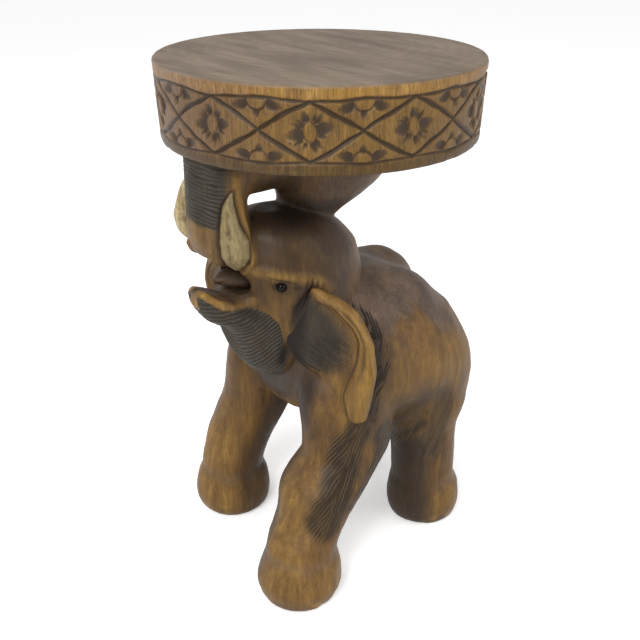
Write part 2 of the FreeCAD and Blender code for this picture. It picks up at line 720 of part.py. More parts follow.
def seat_body():
    """The seat: a turned slab with two rim lines and the holes for its dowels underneath."""
    body = document.addObject("PartDesign::Body", "seat")
    thickness = SIZES["seat_thickness"]
    corners = (
        (0, 0, "", ""),
        (SIZES["seat_bottom_radius"], 0, "Sizes.seat_bottom_radius", ""),
        (SIZES["seat_top_radius"], thickness, "Sizes.seat_top_radius", "Sizes.seat_thickness"),
        (0, thickness, "", "Sizes.seat_thickness"),
    )
    revolved(body, "Revolution", "slab", closed_sketch(body, "slab_outline", corners))
    upper = thickness - SIZES["upper_line_drop"]
    rim_line(body, "upper_line", upper, "Sizes.seat_thickness - Sizes.upper_line_drop")
    rim_line(body, "lower_line", SIZES["lower_line_rise"], "Sizes.lower_line_rise")
    holes = body.newObject("Sketcher::SketchObject", "dowel_hole_circles")
    holes.AttachmentSupport = [(origin_plane(body, "XY_Plane"), "")]
    holes.MapMode = "FlatFace"
    places = ((SIZES["head_middle"], TRUNK["end"][1]), (SIZES["head_middle"], COLUMN["waist"][1]))
    for circle, (x, y) in enumerate(places):
        middle = Vector(x, y, 0)
        holes.addGeometry(Part.Circle(middle, Vector(0, 0, 1), SIZES["dowel_radius"]), False)
        bindings = (
            ("DistanceX", x, SEAT_DOWEL_PLACES[circle][0]),
            ("DistanceY", y, SEAT_DOWEL_PLACES[circle][1]),
        )
        for kind, here, size in bindings:
            number = holes.addConstraint(Sketcher.Constraint(kind, -1, 1, circle, 3, here))
            holes.setExpression(f"Constraints[{number}]", size)
        radius = Sketcher.Constraint("Radius", circle, SIZES["dowel_radius"])
        number = holes.addConstraint(radius)
        holes.setExpression(f"Constraints[{number}]", f"Sizes.dowel_radius + {DOWEL_FIT}")
    pocket = body.newObject("PartDesign::Pocket", "dowel_holes")
    pocket.Profile = holes
    pocket.Reversed = True
    pocket.setExpression("Length", f"Sizes.seat_dowel_into_seat + {DOWEL_FIT}")
    document.recompute()
    rounding = body.newObject("PartDesign::Fillet", "edge_round")
    rounding.Base = (pocket, rim_edges(pocket.Shape, thickness))
    rounding.setExpression("Radius", "Sizes.seat_edge_round")
    body.setExpression("Placement.Base.z", SEAT_UNDERSIDE)
    return body


def seat_solid():
    """The turned slab with the lattice, the flowers and the leaves carved into its rim."""
    cuts = {"rising": [], "falling": [], "pits": []}
    for crossing in range(len(RIM_CROSSINGS)):
        cuts["rising"].append(rim_channel(f"rising_{crossing}", crossing, 1))
        cuts["falling"].append(rim_channel(f"falling_{crossing}", crossing, -1))
        cuts["pits"] += flower_pits(crossing) + leaf_pits(crossing)
    tools = []
    for kind, forms in cuts.items():
        tool = document.addObject("Part::Compound", f"rim_{kind}")
        tool.Links = forms
        tools.append(tool)
    return cut("seat_carved", seat_body(), tools)


def head_solid():
    """Skull, jaw, trunk, column and bar as one carved piece, flat at the neck and under the seat."""
    masses = [
        head_form("skull", SKULL),
        upright_form("jaw", JAW),
        head_form("trunk", TRUNK),
        head_form("column", COLUMN),
        bar_form(),
    ]
    seat_space = document.addObject("Part::Cylinder", "seat_space")
    seat_space.setExpression("Radius", "Sizes.seat_top_radius")
    seat_space.setExpression("Height", "Sizes.seat_thickness")
    seat_space.setExpression("Placement.Base.z", SEAT_UNDERSIDE)
    tools = [
        seat_space,
        eye_form("left_eye_seat", 1, FIT),
        eye_form("right_eye_seat", -1, FIT),
        mouth_form(),
        dowel_pair("seat_dowel_hole", SEAT_DOWEL_PLACES, *SEAT_DOWEL, DOWEL_FIT),
        dowel_pair("neck_dowel_hole_up", NECK_DOWEL_PLACES, *NECK_DOWEL, DOWEL_FIT),
        tusk_form("left_tusk", LEFT_TUSK, 1, FIT),
        tusk_form("right_tusk", RIGHT_TUSK, -1, FIT),
        ear_form("left_ear", 1, FIT),
        ear_form("right_ear", -1, FIT),
    ]
    hollowed = cut("head_carved", fuse("head_masses", masses), tools)
    return fuse("head_with_tongue", [hollowed, upright_form("tongue", TONGUE)]), tools[-2:]


def body_solid(ear_seats):
    """Torso, hips, tail and four legs as one carved piece, cut out for the head and the ears."""
    masses = [torso_form()] + [leg_form(leg) for leg in LEGS]
    masses += [hip_form("left_hip", 1), hip_form("right_hip", -1), tail_form()]
    tools = [
        head_form("skull", SKULL, FIT),
        upright_form("jaw", JAW, FIT),
        dowel_pair("neck_dowel_hole_down", NECK_DOWEL_PLACES, *NECK_DOWEL, DOWEL_FIT),
    ]
    return cut("body_carved", fuse("body_masses", masses), tools + ear_seats)


head, ear_seats = head_solid()
nodes = {
    "seat": seat_solid(),
    "body": body_solid(ear_seats),
    "head": head,
    "left_ear": ear_form("left_ear", 1),
    "right_ear": ear_form("right_ear", -1),
    "left_tusk": tusk_form("left_tusk", LEFT_TUSK, 1),
    "right_tusk": tusk_form("right_tusk", RIGHT_TUSK, -1),
    "left_eye": eye_form("left_eye_bead", 1),
    "right_eye": eye_form("right_eye_bead", -1),
    "neck_dowels": dowel_pair("neck_dowel", NECK_DOWEL_PLACES, *NECK_DOWEL),
    "seat_dowels": dowel_pair("seat_dowel", SEAT_DOWEL_PLACES, *SEAT_DOWEL),
}
for node, piece in nodes.items():
    piece.Label = node
document.recompute()

for item in document.Objects:
    if "Invalid" in item.State or "Error" in item.State:
        raise RuntimeError(f"{item.Label} did not compute: {item.State}")
SOLIDS = {"neck_dowels": 2, "seat_dowels": 2}
for node, piece in nodes.items():
    shape = piece.Shape
    if shape.isNull() or not shape.isValid():
        raise RuntimeError(f"{node} has no valid shape")
    if len(shape.Solids) != SOLIDS.get(node, 1):
        raise RuntimeError(f"{node} has {len(shape.Solids)} solids")

os.makedirs("parts", exist_ok=True)
for node, piece in nodes.items():
    piece.Shape.exportStep(f"parts/{node}.step")
    box = piece.Shape.BoundBox
    print(f"{node}: {piece.Shape.Volume / 1000:.1f} cm3, X {box.XMin:.1f}..{box.XMax:.1f}, "
          f"Y {box.YMin:.1f}..{box.YMax:.1f}, Z {box.ZMin:.1f}..{box.ZMax:.1f}")
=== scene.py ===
"""Carved wooden elephant stool: a standing elephant holds a round seat on its raised trunk and crown.

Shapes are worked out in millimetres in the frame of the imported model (+Z up, floor at Z 0, seat axis at
X 0, Y 0, the elephant faces -Y and its left side is +X) and written into the meshes in metres.
"""

import math

import bpy
import numpy as np
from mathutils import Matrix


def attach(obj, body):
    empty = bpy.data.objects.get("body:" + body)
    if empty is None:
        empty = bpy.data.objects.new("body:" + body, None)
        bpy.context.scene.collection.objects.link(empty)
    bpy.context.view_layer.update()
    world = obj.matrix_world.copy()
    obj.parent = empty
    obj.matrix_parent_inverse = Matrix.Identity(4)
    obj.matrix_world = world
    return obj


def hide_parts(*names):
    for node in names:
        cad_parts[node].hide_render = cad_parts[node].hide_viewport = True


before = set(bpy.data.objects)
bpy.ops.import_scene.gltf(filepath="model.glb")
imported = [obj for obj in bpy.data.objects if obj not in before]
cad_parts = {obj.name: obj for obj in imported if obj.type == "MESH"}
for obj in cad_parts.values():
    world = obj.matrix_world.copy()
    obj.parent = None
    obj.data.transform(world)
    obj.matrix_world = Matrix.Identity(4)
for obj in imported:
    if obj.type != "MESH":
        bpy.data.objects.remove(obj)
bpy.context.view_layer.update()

MM = 0.001
BODY_MIDDLE = 12.0
HEAD_MIDDLE = 6.0
COARSE = 1.0


# Number helpers

def ease(low, high, value):
    """0 below low, 1 above high and a smooth S between: 3t^2 - 2t^3."""
    share = np.clip((value - low) / (high - low), 0, 1)
    return share * share * (3 - 2 * share)


def bell(distance, width):
    """1 at distance 0, falling smoothly to 0 at the width: (1 - (d/w)^2)^2."""
    return np.clip(1 - (distance / width) ** 2, 0, 1) ** 2


def valley(distance, half_width):
    """A V: 1 on the line, falling straight to 0 at the half width."""
    return np.clip(1 - np.abs(distance) / half_width, 0, 1)


def cubic(rows, at):
    """Smooth curve through rows (place, value, value, ...), one row of values for each place in at.

    Between two rows it is the cubic with given end slopes, and a row's slope is the harmonic mean of
    the slopes on its two sides, or 0 where they differ in sign.
    """
    rows = np.asarray(rows, float)
    places, values = rows[:, 0], rows[:, 1:]
    rise = np.diff(values, axis=0) / np.diff(places)[:, None]
    slopes = np.zeros_like(values)
    product = rise[:-1] * rise[1:]
    total = rise[:-1] + rise[1:]
    slopes[1:-1] = np.where(product > 0, 2 * product / np.where(total == 0, 1, total), 0)
    slopes[0], slopes[-1] = rise[0], rise[-1]
    at = np.clip(at, places[0], places[-1])
    index = np.clip(np.searchsorted(places, at) - 1, 0, len(places) - 2)
    gap = (places[index + 1] - places[index])[:, None]
    t = (at - places[index])[:, None] / gap
    start = (1 + 2 * t) * (1 - t) ** 2 * values[index] + t * (1 - t) ** 2 * gap * slopes[index]
    stop = t * t * (3 - 2 * t) * values[index + 1] + t * t * (t - 1) * gap * slopes[index + 1]
    return start + stop


def value_noise(points, size, seed):
    """Smooth noise from -1 to 1: random values on a cubic lattice of the given size, eased between."""
    side = 32
    table = np.random.default_rng(seed).uniform(-1, 1, (side, side, side))
    place = points / size
    cell = np.floor(place).astype(int)
    part = ease(0, 1, place - cell)
    total = np.zeros(len(points))
    for corner in np.ndindex(2, 2, 2):
        weight = np.prod(np.where(corner, part, 1 - part), axis=1)
        index = (cell + corner) % side
        total += weight * table[index[:, 0], index[:, 1], index[:, 2]]
    return total


def near_path(points, path):
    """Each point's distance to a path of straight runs, and the share of the path passed there."""
    path = np.asarray(path, float)
    runs = np.diff(path, axis=0)
    lengths = np.linalg.norm(runs, axis=1)
    starts = np.concatenate([[0], np.cumsum(lengths)])
    nearest = np.full(len(points), np.inf)
    passed = np.zeros(len(points))
    for start, run, length, before in zip(path, runs, lengths, starts):
        share = np.clip((points - start) @ run / length ** 2, 0, 1)
        distance = np.linalg.norm(points - start - share[:, None] * run, axis=1)
        closer = distance < nearest
        nearest = np.where(closer, distance, nearest)
        passed = np.where(closer, (before + share * length) / starts[-1], passed)
    return nearest, passed


def stroke(points, path, half_width):
    """A cut along a path: 1 on its line, 0 at the half width, thinning to nothing at both ends."""
    distance, passed = near_path(points, path)
    taper = np.clip(4 * passed * (1 - passed), 0, 1) ** 0.5
    return bell(distance, half_width * np.maximum(taper, 0.05)) * taper


def cuts(across, along, spacing, seed):
    """Parallel cuts: their count across the hatched patch, and a share of the full width at each point.

    Every cut comes and goes along its run, each with its own draw.
    """
    count = across / spacing
    lane = np.floor(count)
    place = np.column_stack([3.7 * lane, along / (4.5 * spacing), 1.3 * lane])
    return count, ease(-0.55, 0.1, value_noise(place, 1.0, seed))


def off_lane(count):
    """Distance from the middle of the lane, in lanes: 0 to 0.5."""
    return np.abs(count - np.floor(count) - 0.5)


def hatch_groove(count, width):
    """A V in every lane, as wide as the width's share of the lane."""
    return np.clip(np.abs(width) - 2 * off_lane(count), 0, 1)


def straight(rows, at):
    """Straight runs through rows (place, value), read at each place."""
    places, values = np.array(rows, float).T
    return np.interp(at, places, values)


def knob(points, middle, width, stretch=(1, 1, 1)):
    """A bell round a middle point, drawn out along the axes whose stretch is over 1."""
    return bell(np.linalg.norm((points - middle) / stretch, axis=1), width)


# Masses as fields: below 0 inside, above 0 outside, in millimetres near the surface

class Grid:
    """Evenly spaced sample points of a box, held as three open arrays."""

    def __init__(self, low, high, step):
        self.low = np.array(low, float)
        self.step = step
        sides = [np.arange(a, b + step, step, dtype=np.float32) for a, b in zip(low, high)]
        self.x, self.y, self.z = np.meshgrid(*sides, indexing="ij", sparse=True)


def ring_form(grid, rows, upright=False):
    """Elliptic rings along Z, or along Y where upright.

    rows: (place along the axis, X of the middle, other middle, half width along X, other half size).
    With r the ring's own reach, where 1 is on the ring, the field is (r - 1) times r over r's slope.
    """
    rows = np.array(rows, float)
    place, other = (grid.y, grid.z) if upright else (grid.z, grid.y)
    columns = cubic(rows, place.ravel().astype(float)).astype(np.float32).T
    middle_x, middle, half_x, half = (column.reshape(place.shape) for column in columns)
    across = (grid.x - middle_x) / half_x
    up = (other - middle) / half
    reach = np.maximum(np.sqrt(across ** 2 + up ** 2), 1e-3)
    slope = np.sqrt((across / half_x) ** 2 + (up / half) ** 2)
    thinnest = np.minimum(half_x, half)
    side = (reach - 1) * np.minimum(reach / np.maximum(slope, 1e-9), 3 * thinnest)
    ends = np.maximum(rows[0, 0] - place, place - rows[-1, 0])
    return np.maximum(side, ends)


def egg(grid, middle, halves, tilt=0.0):
    """An ellipsoid with its middle and three half sizes, tilted about X by so many degrees."""
    turn = math.radians(tilt)
    y = (grid.y - middle[1]) * math.cos(turn) + (grid.z - middle[2]) * math.sin(turn)
    z = (grid.z - middle[2]) * math.cos(turn) - (grid.y - middle[1]) * math.sin(turn)
    parts = [(grid.x - middle[0]) / halves[0], y / halves[1], z / halves[2]]
    reach = np.maximum(np.sqrt(sum(part ** 2 for part in parts)), 1e-3)
    slope = np.sqrt(sum((part / half) ** 2 for part, half in zip(parts, halves)))
    return (reach - 1) * reach / np.maximum(slope, 1e-9)


def joined(first, second, blend):
    """Both masses, with a fillet of about the blend's size where they meet."""
    share = np.clip(0.5 + 0.5 * (second - first) / blend, 0, 1)
    return second + (first - second) * share - blend * share * (1 - share)


def hollowed(mass, tool, blend):
    """The mass with the tool taken away and the edge rounded."""
    return -joined(-mass, tool, blend)


TORSO = [
    (-66, BODY_MIDDLE, 194, 30, 28),
    (-56, BODY_MIDDLE, 197, 62, 48),
    (-30, BODY_MIDDLE, 199, 86, 60),
    (10, BODY_MIDDLE, 190, 95, 82),
    (50, BODY_MIDDLE, 184, 96, 82),
    (85, BODY_MIDDLE, 175, 92, 75),
    (110, BODY_MIDDLE, 165, 83.5, 67),
    (125, BODY_MIDDLE, 155, 71.5, 57),
    (133, BODY_MIDDLE, 147, 54, 46),
    (136.5, BODY_MIDDLE, 143, 16, 16),
]
LEGS = {
    "front_left": [
        (0, 93, -97, 32, 32), (7, 93, -97, 36, 36), (19, 93, -97, 38.5, 38.5), (34, 93.5, -95.5, 36, 36),
        (50, 93, -94, 32, 32), (77, 89, -77, 33, 33.5), (104, 82.5, -56, 37.5, 43.5), (132, 80, -31, 34, 45),
        (174, 69, -27, 35, 45), (220, 52, -22, 28, 34),
    ],
    "front_right": [
        (0, -60, -69, 33, 33), (7, -60, -69, 37, 37), (19, -60, -69, 38.5, 38.5), (34, -60, -69, 36, 36),
        (50, -60, -68, 31.5, 31.5), (77, -60, -59, 33, 33.5), (104, -57, -46, 34.5, 37),
        (132, -51, -35, 34, 39.5), (174, -46, -29, 34.5, 43), (220, -42, -24, 28, 34),
    ],
    "rear_left": [
        (0, 73.5, 77, 31, 31), (7, 73.5, 77, 35, 35), (19, 73.5, 77, 37, 37), (34, 73.5, 77, 35.5, 35.5),
        (50, 73, 75.5, 31.5, 31.5), (77, 72, 75, 32, 32), (104, 70, 74.5, 33, 35), (132, 67, 79, 38, 43),
        (174, 58, 76, 37, 43), (220, 50, 76, 28, 34),
    ],
    "rear_right": [
        (0, -50, 86, 32, 32), (7, -50, 86, 35.5, 35.5), (19, -50, 86, 37, 37), (34, -50, 86, 35.5, 35.5),
        (50, -50, 85, 32.5, 32.5), (77, -50, 84, 34, 34), (104, -49, 84, 38, 38), (132, -44, 84, 40, 44),
        (174, -36, 82, 38, 46), (220, -26, 78, 28, 34),
    ],
}
# The two humps of the back: (out from the body's middle, Y, height, half width, half length, half height)
HIPS = {"left": (34, 46, 216, 38, 49, 50), "right": (-36, 80, 202, 38, 58, 57)}
TAIL = [
    (110, BODY_MIDDLE, 127, 4, 4),
    (122, BODY_MIDDLE, 131, 8, 8),
    (144, BODY_MIDDLE, 132.5, 5.5, 6),
    (180, BODY_MIDDLE, 132, 6.5, 6.5),
    (208, BODY_MIDDLE, 127, 8, 8),
]
SKULL = [
    (194, -8, 50, 56), (220, -22, 56, 57), (248, -32, 58, 62), (276, -37, 57, 66), (298, -41, 55, 64),
    (317, -46, 48, 54), (330, -53, 36, 41), (338, -57, 14, 17),
]
JAW = [
    (-139, 274.5, 8, 6), (-134, 271, 16, 11), (-124, 264.5, 22, 16.5), (-112, 257.5, 27, 15),
    (-104, 252, 30, 20), (-93, 237, 36, 36), (-76, 228, 41, 43), (-54, 222, 44, 46), (-30, 220, 40, 24),
]
TRUNK = [
    (302, -99, 25, 16), (313, -107, 31, 24), (330, -111, 31, 25), (350, -112, 28.5, 24),
    (370, -112, 27, 24), (393, -110, 28, 26),
]
COLUMN = [
    (304, -21, 21, 17), (323, -19, 24, 21), (332, -14, 28, 29), (341, -5, 33, 41), (352, 4, 37, 53),
    (368, 9, 42, 62), (393, 10, 46, 68),
]
BAR = {"front": -110.0, "rear": -19.0, "level": 386.0, "half_width": 27.0, "half_height": 31.0}
MOUTH = {"middle": (HEAD_MIDDLE, -109.0, 285.0), "halves": (24.0, 38.0, 12.0), "tilt": -14.0}
TONGUE = [(-119, 285, 2, 2), (-113, 285, 7, 5), (-104, 284, 11, 8), (-92, 282, 14, 9.5), (-72, 278, 14, 9)]
SEAT_UNDERSIDE = 393.0


def centred(rows):
    """Head rings carry no X of their own: they lie on the head's middle plane."""
    return [(place, HEAD_MIDDLE, *rest) for place, *rest in rows]


def body_field(grid):
    """Torso, hips, tail and legs joined with soft creases."""
    torso = ring_form(grid, TORSO, upright=True)
    for out, back, level, *halves in HIPS.values():
        torso = joined(torso, egg(grid, (BODY_MIDDLE + out, back, level), halves), 14)
    mass = torso
    for rings in LEGS.values():
        mass = joined(mass, ring_form(grid, rings), 10)
    return joined(mass, ring_form(grid, TAIL), 4)


def head_field(grid):
    """Skull, jaw, trunk, column and bar joined with soft creases, hollowed for the mouth."""
    skull = ring_form(grid, centred(SKULL))
    jaw = ring_form(grid, centred(JAW), upright=True)
    mass = joined(skull, jaw, 9)
    mass = joined(mass, ring_form(grid, centred(TRUNK)), 9)
    column = ring_form(grid, centred(COLUMN))
    section = (HEAD_MIDDLE, BAR["level"], BAR["half_width"], BAR["half_height"])
    bar_rings = [(BAR[end], *section) for end in ("front", "rear")]
    bar = ring_form(grid, bar_rings, upright=True)
    mass = joined(mass, joined(column, bar, 12), 7)
    mass = hollowed(mass, egg(grid, MOUTH["middle"], MOUTH["halves"], MOUTH["tilt"]), 3)
    mass = joined(mass, ring_form(grid, centred(TONGUE), upright=True), 3)
    return np.maximum(mass, grid.z - SEAT_UNDERSIDE)


# Meshes from fields and grids

def net(field, grid):
    """Closed quads where the field is 0.

    Every cell that the surface crosses has one point, the mean of the crossings on its edges, and every
    crossed grid edge has one quad through the four cells round it.
    """
    inside = field < 0
    shape = np.array(field.shape)
    count = np.zeros(shape - 1, np.int8)
    for corner in np.ndindex(2, 2, 2):
        count += inside[tuple(slice(c, c + n - 1) for c, n in zip(corner, shape))]
    cells = np.argwhere((count > 0) & (count < 8))
    number = np.full(count.shape, -1, np.int32)
    number[tuple(cells.T)] = np.arange(len(cells))
    total = np.zeros((len(cells), 3))
    hits = np.zeros(len(cells))
    faces = []
    for axis in range(3):
        step = np.eye(3, dtype=int)[axis]
        for corner in np.ndindex(2, 2, 2):
            if corner[axis]:
                continue
            start = cells + corner
            low = field[tuple(start.T)]
            high = field[tuple((start + step).T)]
            crossed = (low < 0) != (high < 0)
            share = np.where(crossed, low / np.where(crossed, low - high, 1), 0)
            total += np.where(crossed[:, None], start + share[:, None] * step, 0)
            hits += crossed
        one, two = np.eye(3, dtype=int)[(axis + 1) % 3], np.eye(3, dtype=int)[(axis + 2) % 3]
        low_side = inside[tuple(slice(0, n - s) for n, s in zip(shape, step))]
        high_side = inside[tuple(slice(s, n) for n, s in zip(shape, step))]
        edges = np.argwhere(low_side != high_side)
        edges = edges[np.all(edges >= one + two, axis=1) & np.all(edges < shape - 1, axis=1)]
        round_edge = (-one - two, -two, 0 * one, -one)
        quads = np.stack([number[tuple((edges + shift).T)] for shift in round_edge], axis=1)
        leaving = low_side[tuple(edges.T)]
        faces.append(np.where(leaving[:, None], quads, quads[:, ::-1]))
    points = grid.low + grid.step * total / hits[:, None]
    return points, np.concatenate(faces)


def smoothed(points, faces, rounds, share=0.5):
    """Every round moves each point by a share of the way to the mean of its neighbours."""
    start = faces.ravel()
    stop = np.roll(faces, -1, axis=1).ravel()
    ends = np.concatenate([start, stop])
    others = np.concatenate([stop, start])
    degree = np.bincount(ends, minlength=len(points))[:, None]
    for _ in range(rounds):
        sums = [np.bincount(ends, weights=part[others], minlength=len(points)) for part in points.T]
        points = points + share * (np.stack(sums, axis=1) / degree - points)
    return points


def normals(points, faces):
    """Each point's outward direction: the sum of the cross products of its faces' diagonals."""
    cross = np.cross(points[faces[:, 2]] - points[faces[:, 0]], points[faces[:, 3]] - points[faces[:, 1]])
    corners = faces.ravel()
    sums = [np.bincount(corners, weights=np.repeat(part, 4), minlength=len(points)) for part in cross.T]
    total = np.stack(sums, axis=1)
    return total / np.maximum(np.linalg.norm(total, axis=1, keepdims=True), 1e-9)


def tube_faces(rows, columns):
    """Quads of a grid of rows whose columns close on themselves."""
    row, column = np.meshgrid(np.arange(rows - 1), np.arange(columns), indexing="ij")
    following = (column + 1) % columns
    corners = (row * columns + column, row * columns + following)
    above = (corners[1] + columns, corners[0] + columns)
    return np.stack([corners[0], corners[1], *above], axis=-1).reshape(-1, 4)


def end_rings(rows, columns):
    """First and last ring of a tube's points, each in the order that its closing fan needs."""
    return np.arange(columns)[::-1], (rows - 1) * columns + np.arange(columns)


def add_piece(name, node, points, faces, material, looks=None, poles=()):
    """A mesh in metres that stands for a node.

    looks: values at the points that the material reads. poles: (first, last) rows of a closed tube, whose
    open ring is closed by a fan round an added middle point; the ring's order gives the fan's side.
    """
    polygons = faces.tolist()
    looks = dict(looks or {})
    for ring in poles:
        middle = len(points)
        points = np.vstack([points, points[ring].mean(axis=0)])
        looks = {key: np.append(values, values[ring].mean()) for key, values in looks.items()}
        polygons += [[a, b, middle] for a, b in zip(ring, np.roll(ring, -1))]
    mesh = bpy.data.meshes.new(name)
    mesh.from_pydata((points * MM).tolist(), [], polygons)
    for key, values in looks.items():
        layer = mesh.attributes.new(key, "FLOAT", "POINT")
        layer.data.foreach_set("value", np.asarray(values, np.float32))
    mesh.shade_smooth()
    mesh.materials.append(material)
    piece = bpy.data.objects.new(name, mesh)
    bpy.context.scene.collection.objects.link(piece)
    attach(piece, "root")
    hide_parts(node)


# Materials

def tone(red, green, blue):
    """A colour given as it looks on a screen, 0 to 255, as Blender's linear values."""
    linear = [((part / 255 + 0.055) / 1.055) ** 2.4 for part in (red, green, blue)]
    return (*linear, 1.0)


class Finish:
    """One material and short calls that add its nodes."""

    def __init__(self, name, roughness, coat=0.0, shine=0.5):
        self.material = bpy.data.materials.new(name)
        self.material.use_nodes = True
        self.tree = self.material.node_tree
        self.shader = self.tree.nodes["Principled BSDF"]
        self.shader.inputs["Roughness"].default_value = roughness
        self.shader.inputs["Coat Weight"].default_value = coat
        self.shader.inputs["Specular IOR Level"].default_value = shine
        self.shader.inputs["Coat Roughness"].default_value = 0.35
        self.place = self.node("ShaderNodeTexCoord").outputs["Object"]

    def node(self, kind, **settings):
        """A new node with its settings."""
        made = self.tree.nodes.new(kind)
        for key, value in settings.items():
            setattr(made, key, value)
        return made

    def put(self, socket, value):
        """Links an output to the socket, or writes a plain value into it."""
        if isinstance(value, bpy.types.NodeSocket):
            self.tree.links.new(value, socket)
        else:
            socket.default_value = value

    def math(self, operation, first, second=0.0, clamp=False):
        """One sum, product or the like of two values; clamp keeps it from 0 to 1."""
        made = self.node("ShaderNodeMath", operation=operation, use_clamp=clamp)
        self.put(made.inputs[0], first)
        self.put(made.inputs[1], second)
        return made.outputs[0]

    def line(self, value, factor, start, clamp=False):
        """The value times a factor, plus a start."""
        return self.math("ADD", self.math("MULTIPLY", value, factor), start, clamp)

    def mix(self, first, second, share):
        """The first colour at share 0, the second at 1."""
        made = self.node("ShaderNodeMix", data_type="RGBA")
        self.put(made.inputs["Factor"], share)
        self.put(made.inputs[6], first)
        self.put(made.inputs[7], second)
        return made.outputs[2]

    def shade(self, colour, factor):
        """The colour times a grey factor."""
        made = self.node("ShaderNodeVectorMath", operation="SCALE")
        self.put(made.inputs[0], colour)
        self.put(made.inputs["Scale"], factor)
        return made.outputs[0]

    def look(self, name):
        """A value carried by the mesh's points."""
        return self.node("ShaderNodeAttribute", attribute_name=name).outputs["Fac"]

    def noise(self, size, detail=4.0, rough=0.55, stretch=(1, 1, 1), shift=0.0):
        """Noise of the given size in millimetres, drawn out along the axes whose stretch is over 1."""
        mapping = self.node("ShaderNodeMapping")
        self.put(mapping.inputs["Vector"], self.place)
        mapping.inputs["Location"].default_value = (shift, shift, shift)
        mapping.inputs["Scale"].default_value = [1 / (size * MM * factor) for factor in stretch]
        made = self.node("ShaderNodeTexNoise")
        self.put(made.inputs["Vector"], mapping.outputs[0])
        made.inputs["Scale"].default_value = 1.0
        made.inputs["Detail"].default_value = detail
        made.inputs["Roughness"].default_value = rough
        return made.outputs["Fac"]

    def band(self, value, low, high):
        """0 below low, 1 above high, straight between."""
        made = self.node("ShaderNodeMapRange")
        self.put(made.inputs["Value"], value)
        made.inputs["From Min"].default_value = low
        made.inputs["From Max"].default_value = high
        return made.outputs[0]

    def finish(self, colour, height, depth_mm, roughness=None):
        """Joins colour, bump and gloss to the shader and returns the material."""
        self.put(self.shader.inputs["Base Color"], colour)
        bump = self.node("ShaderNodeBump")
        bump.inputs["Strength"].default_value = 0.6
        bump.inputs["Distance"].default_value = depth_mm * MM
        self.put(bump.inputs["Height"], height)
        self.put(self.shader.inputs["Normal"], bump.outputs[0])
        if roughness is not None:
            self.put(self.shader.inputs["Roughness"], roughness)
        return self.material


UPRIGHT_GRAIN = (1, 1, 14)
BROWN = tone(112, 83, 48)
DEEP_BROWN = tone(74, 54, 34)
OLD_GOLD = tone(122, 90, 42)
GOLD = tone(148, 112, 54)
PALE_GOLD = tone(164, 130, 72)
SOOT_GREY = tone(52, 47, 39)
ASH_GREY = tone(78, 71, 59)
UMBER = tone(78, 64, 56)
PALE_UMBER = tone(116, 97, 82)
# Black of real burns, and of painted shade
BURN_AND_SHADE_BLACK = tone(30, 25, 23)
KNIFE_DARK = tone(34, 28, 24)
SCRATCHED = tone(134, 112, 76)


def carved_wood(name):
    """Waxed wood of the animal: upright grain, mottling, and looks for its stains, burns, hatching and
    painted shade.

    looks read: gold, grey, umber (shares of each tone), burn_and_shade (share of black: real burns, and
    painted shade in hollows, under and between parts and behind the ear), cut (depth in a groove), hatch
    (counts cuts across a hatched patch) and hatch_width (their width: over 0 dark cuts, under 0 paler
    scratches, 0 where there are none).
    """
    made = Finish(name, 0.48, coat=0.03, shine=0.16)
    grain = made.noise(2.2, 5.0, 0.65, UPRIGHT_GRAIN)
    streak = made.noise(7.0, 3.0, 0.5, (1, 1, 9), shift=3.0)
    mottle = made.noise(26.0, 4.0, 0.6, (1, 1, 2), shift=7.0)
    fleck = made.noise(0.9, 2.0, 0.6, (1, 1, 10), shift=1.0)
    colour = made.mix(DEEP_BROWN, BROWN, made.band(mottle, 0.28, 0.66))
    colour = made.mix(colour, GOLD, made.math("MULTIPLY", made.band(streak, 0.5, 0.8), 0.45))
    gold = made.mix(OLD_GOLD, PALE_GOLD, made.band(streak, 0.3, 0.75))
    colour = made.mix(colour, gold, made.look("gold"))
    grey = made.mix(SOOT_GREY, ASH_GREY, made.band(mottle, 0.3, 0.7))
    colour = made.mix(colour, grey, made.look("grey"))
    umber = made.mix(UMBER, PALE_UMBER, made.band(mottle, 0.3, 0.7))
    colour = made.mix(colour, umber, made.look("umber"))
    colour = made.shade(colour, made.line(made.band(grain, 0.3, 0.7), 0.42, 0.8))
    colour = made.shade(colour, made.line(made.band(fleck, 0.28, 0.5), 0.25, 0.76))
    # Real burns and painted shade, both as black
    colour = made.mix(colour, BURN_AND_SHADE_BLACK, made.look("burn_and_shade"))

    # Hatching: off is the distance from a lane's middle, and a cut covers half its width on each side
    off = made.math("ABSOLUTE", made.math("SUBTRACT", made.math("FRACT", made.look("hatch")), 0.5))
    width = made.look("hatch_width")
    inked = made.math("SUBTRACT", made.math("MULTIPLY", width, 0.5), off)
    inked = made.math("MULTIPLY", inked, 9.0, clamp=True)
    inked = made.math("MULTIPLY", inked, made.line(width, 0.8, 0.42, clamp=True))
    dark = made.math("MAXIMUM", made.look("cut"), inked)
    colour = made.mix(colour, KNIFE_DARK, made.math("MULTIPLY", dark, 0.85))
    scratch = made.math("SUBTRACT", made.math("MULTIPLY", width, -0.5), off)
    scratch = made.math("MULTIPLY", scratch, 6.0, clamp=True)
    colour = made.mix(colour, SCRATCHED, made.math("MULTIPLY", scratch, 0.4))

    height = made.math("ADD", made.math("MULTIPLY", grain, 0.5), made.math("MULTIPLY", fleck, 0.3))
    height = made.math("SUBTRACT", height, made.math("MULTIPLY", inked, 1.6))
    rough = made.line(made.band(mottle, 0.3, 0.7), 0.14, 0.4)
    rough = made.math("ADD", rough, made.math("MULTIPLY", dark, 0.2))
    return made.finish(colour, height, 0.35, rough)


RIM_BROWN = tone(106, 76, 38)
RIM_HONEY = tone(164, 127, 68)
RIM_AMBER = tone(142, 106, 48)
RIM_ROSE = tone(134, 104, 76)
RIM_FLECK = tone(70, 50, 30)
RIM_CUT = tone(46, 34, 24)
TOP_GREY = tone(104, 87, 71)
TOP_WORN = tone(134, 117, 99)


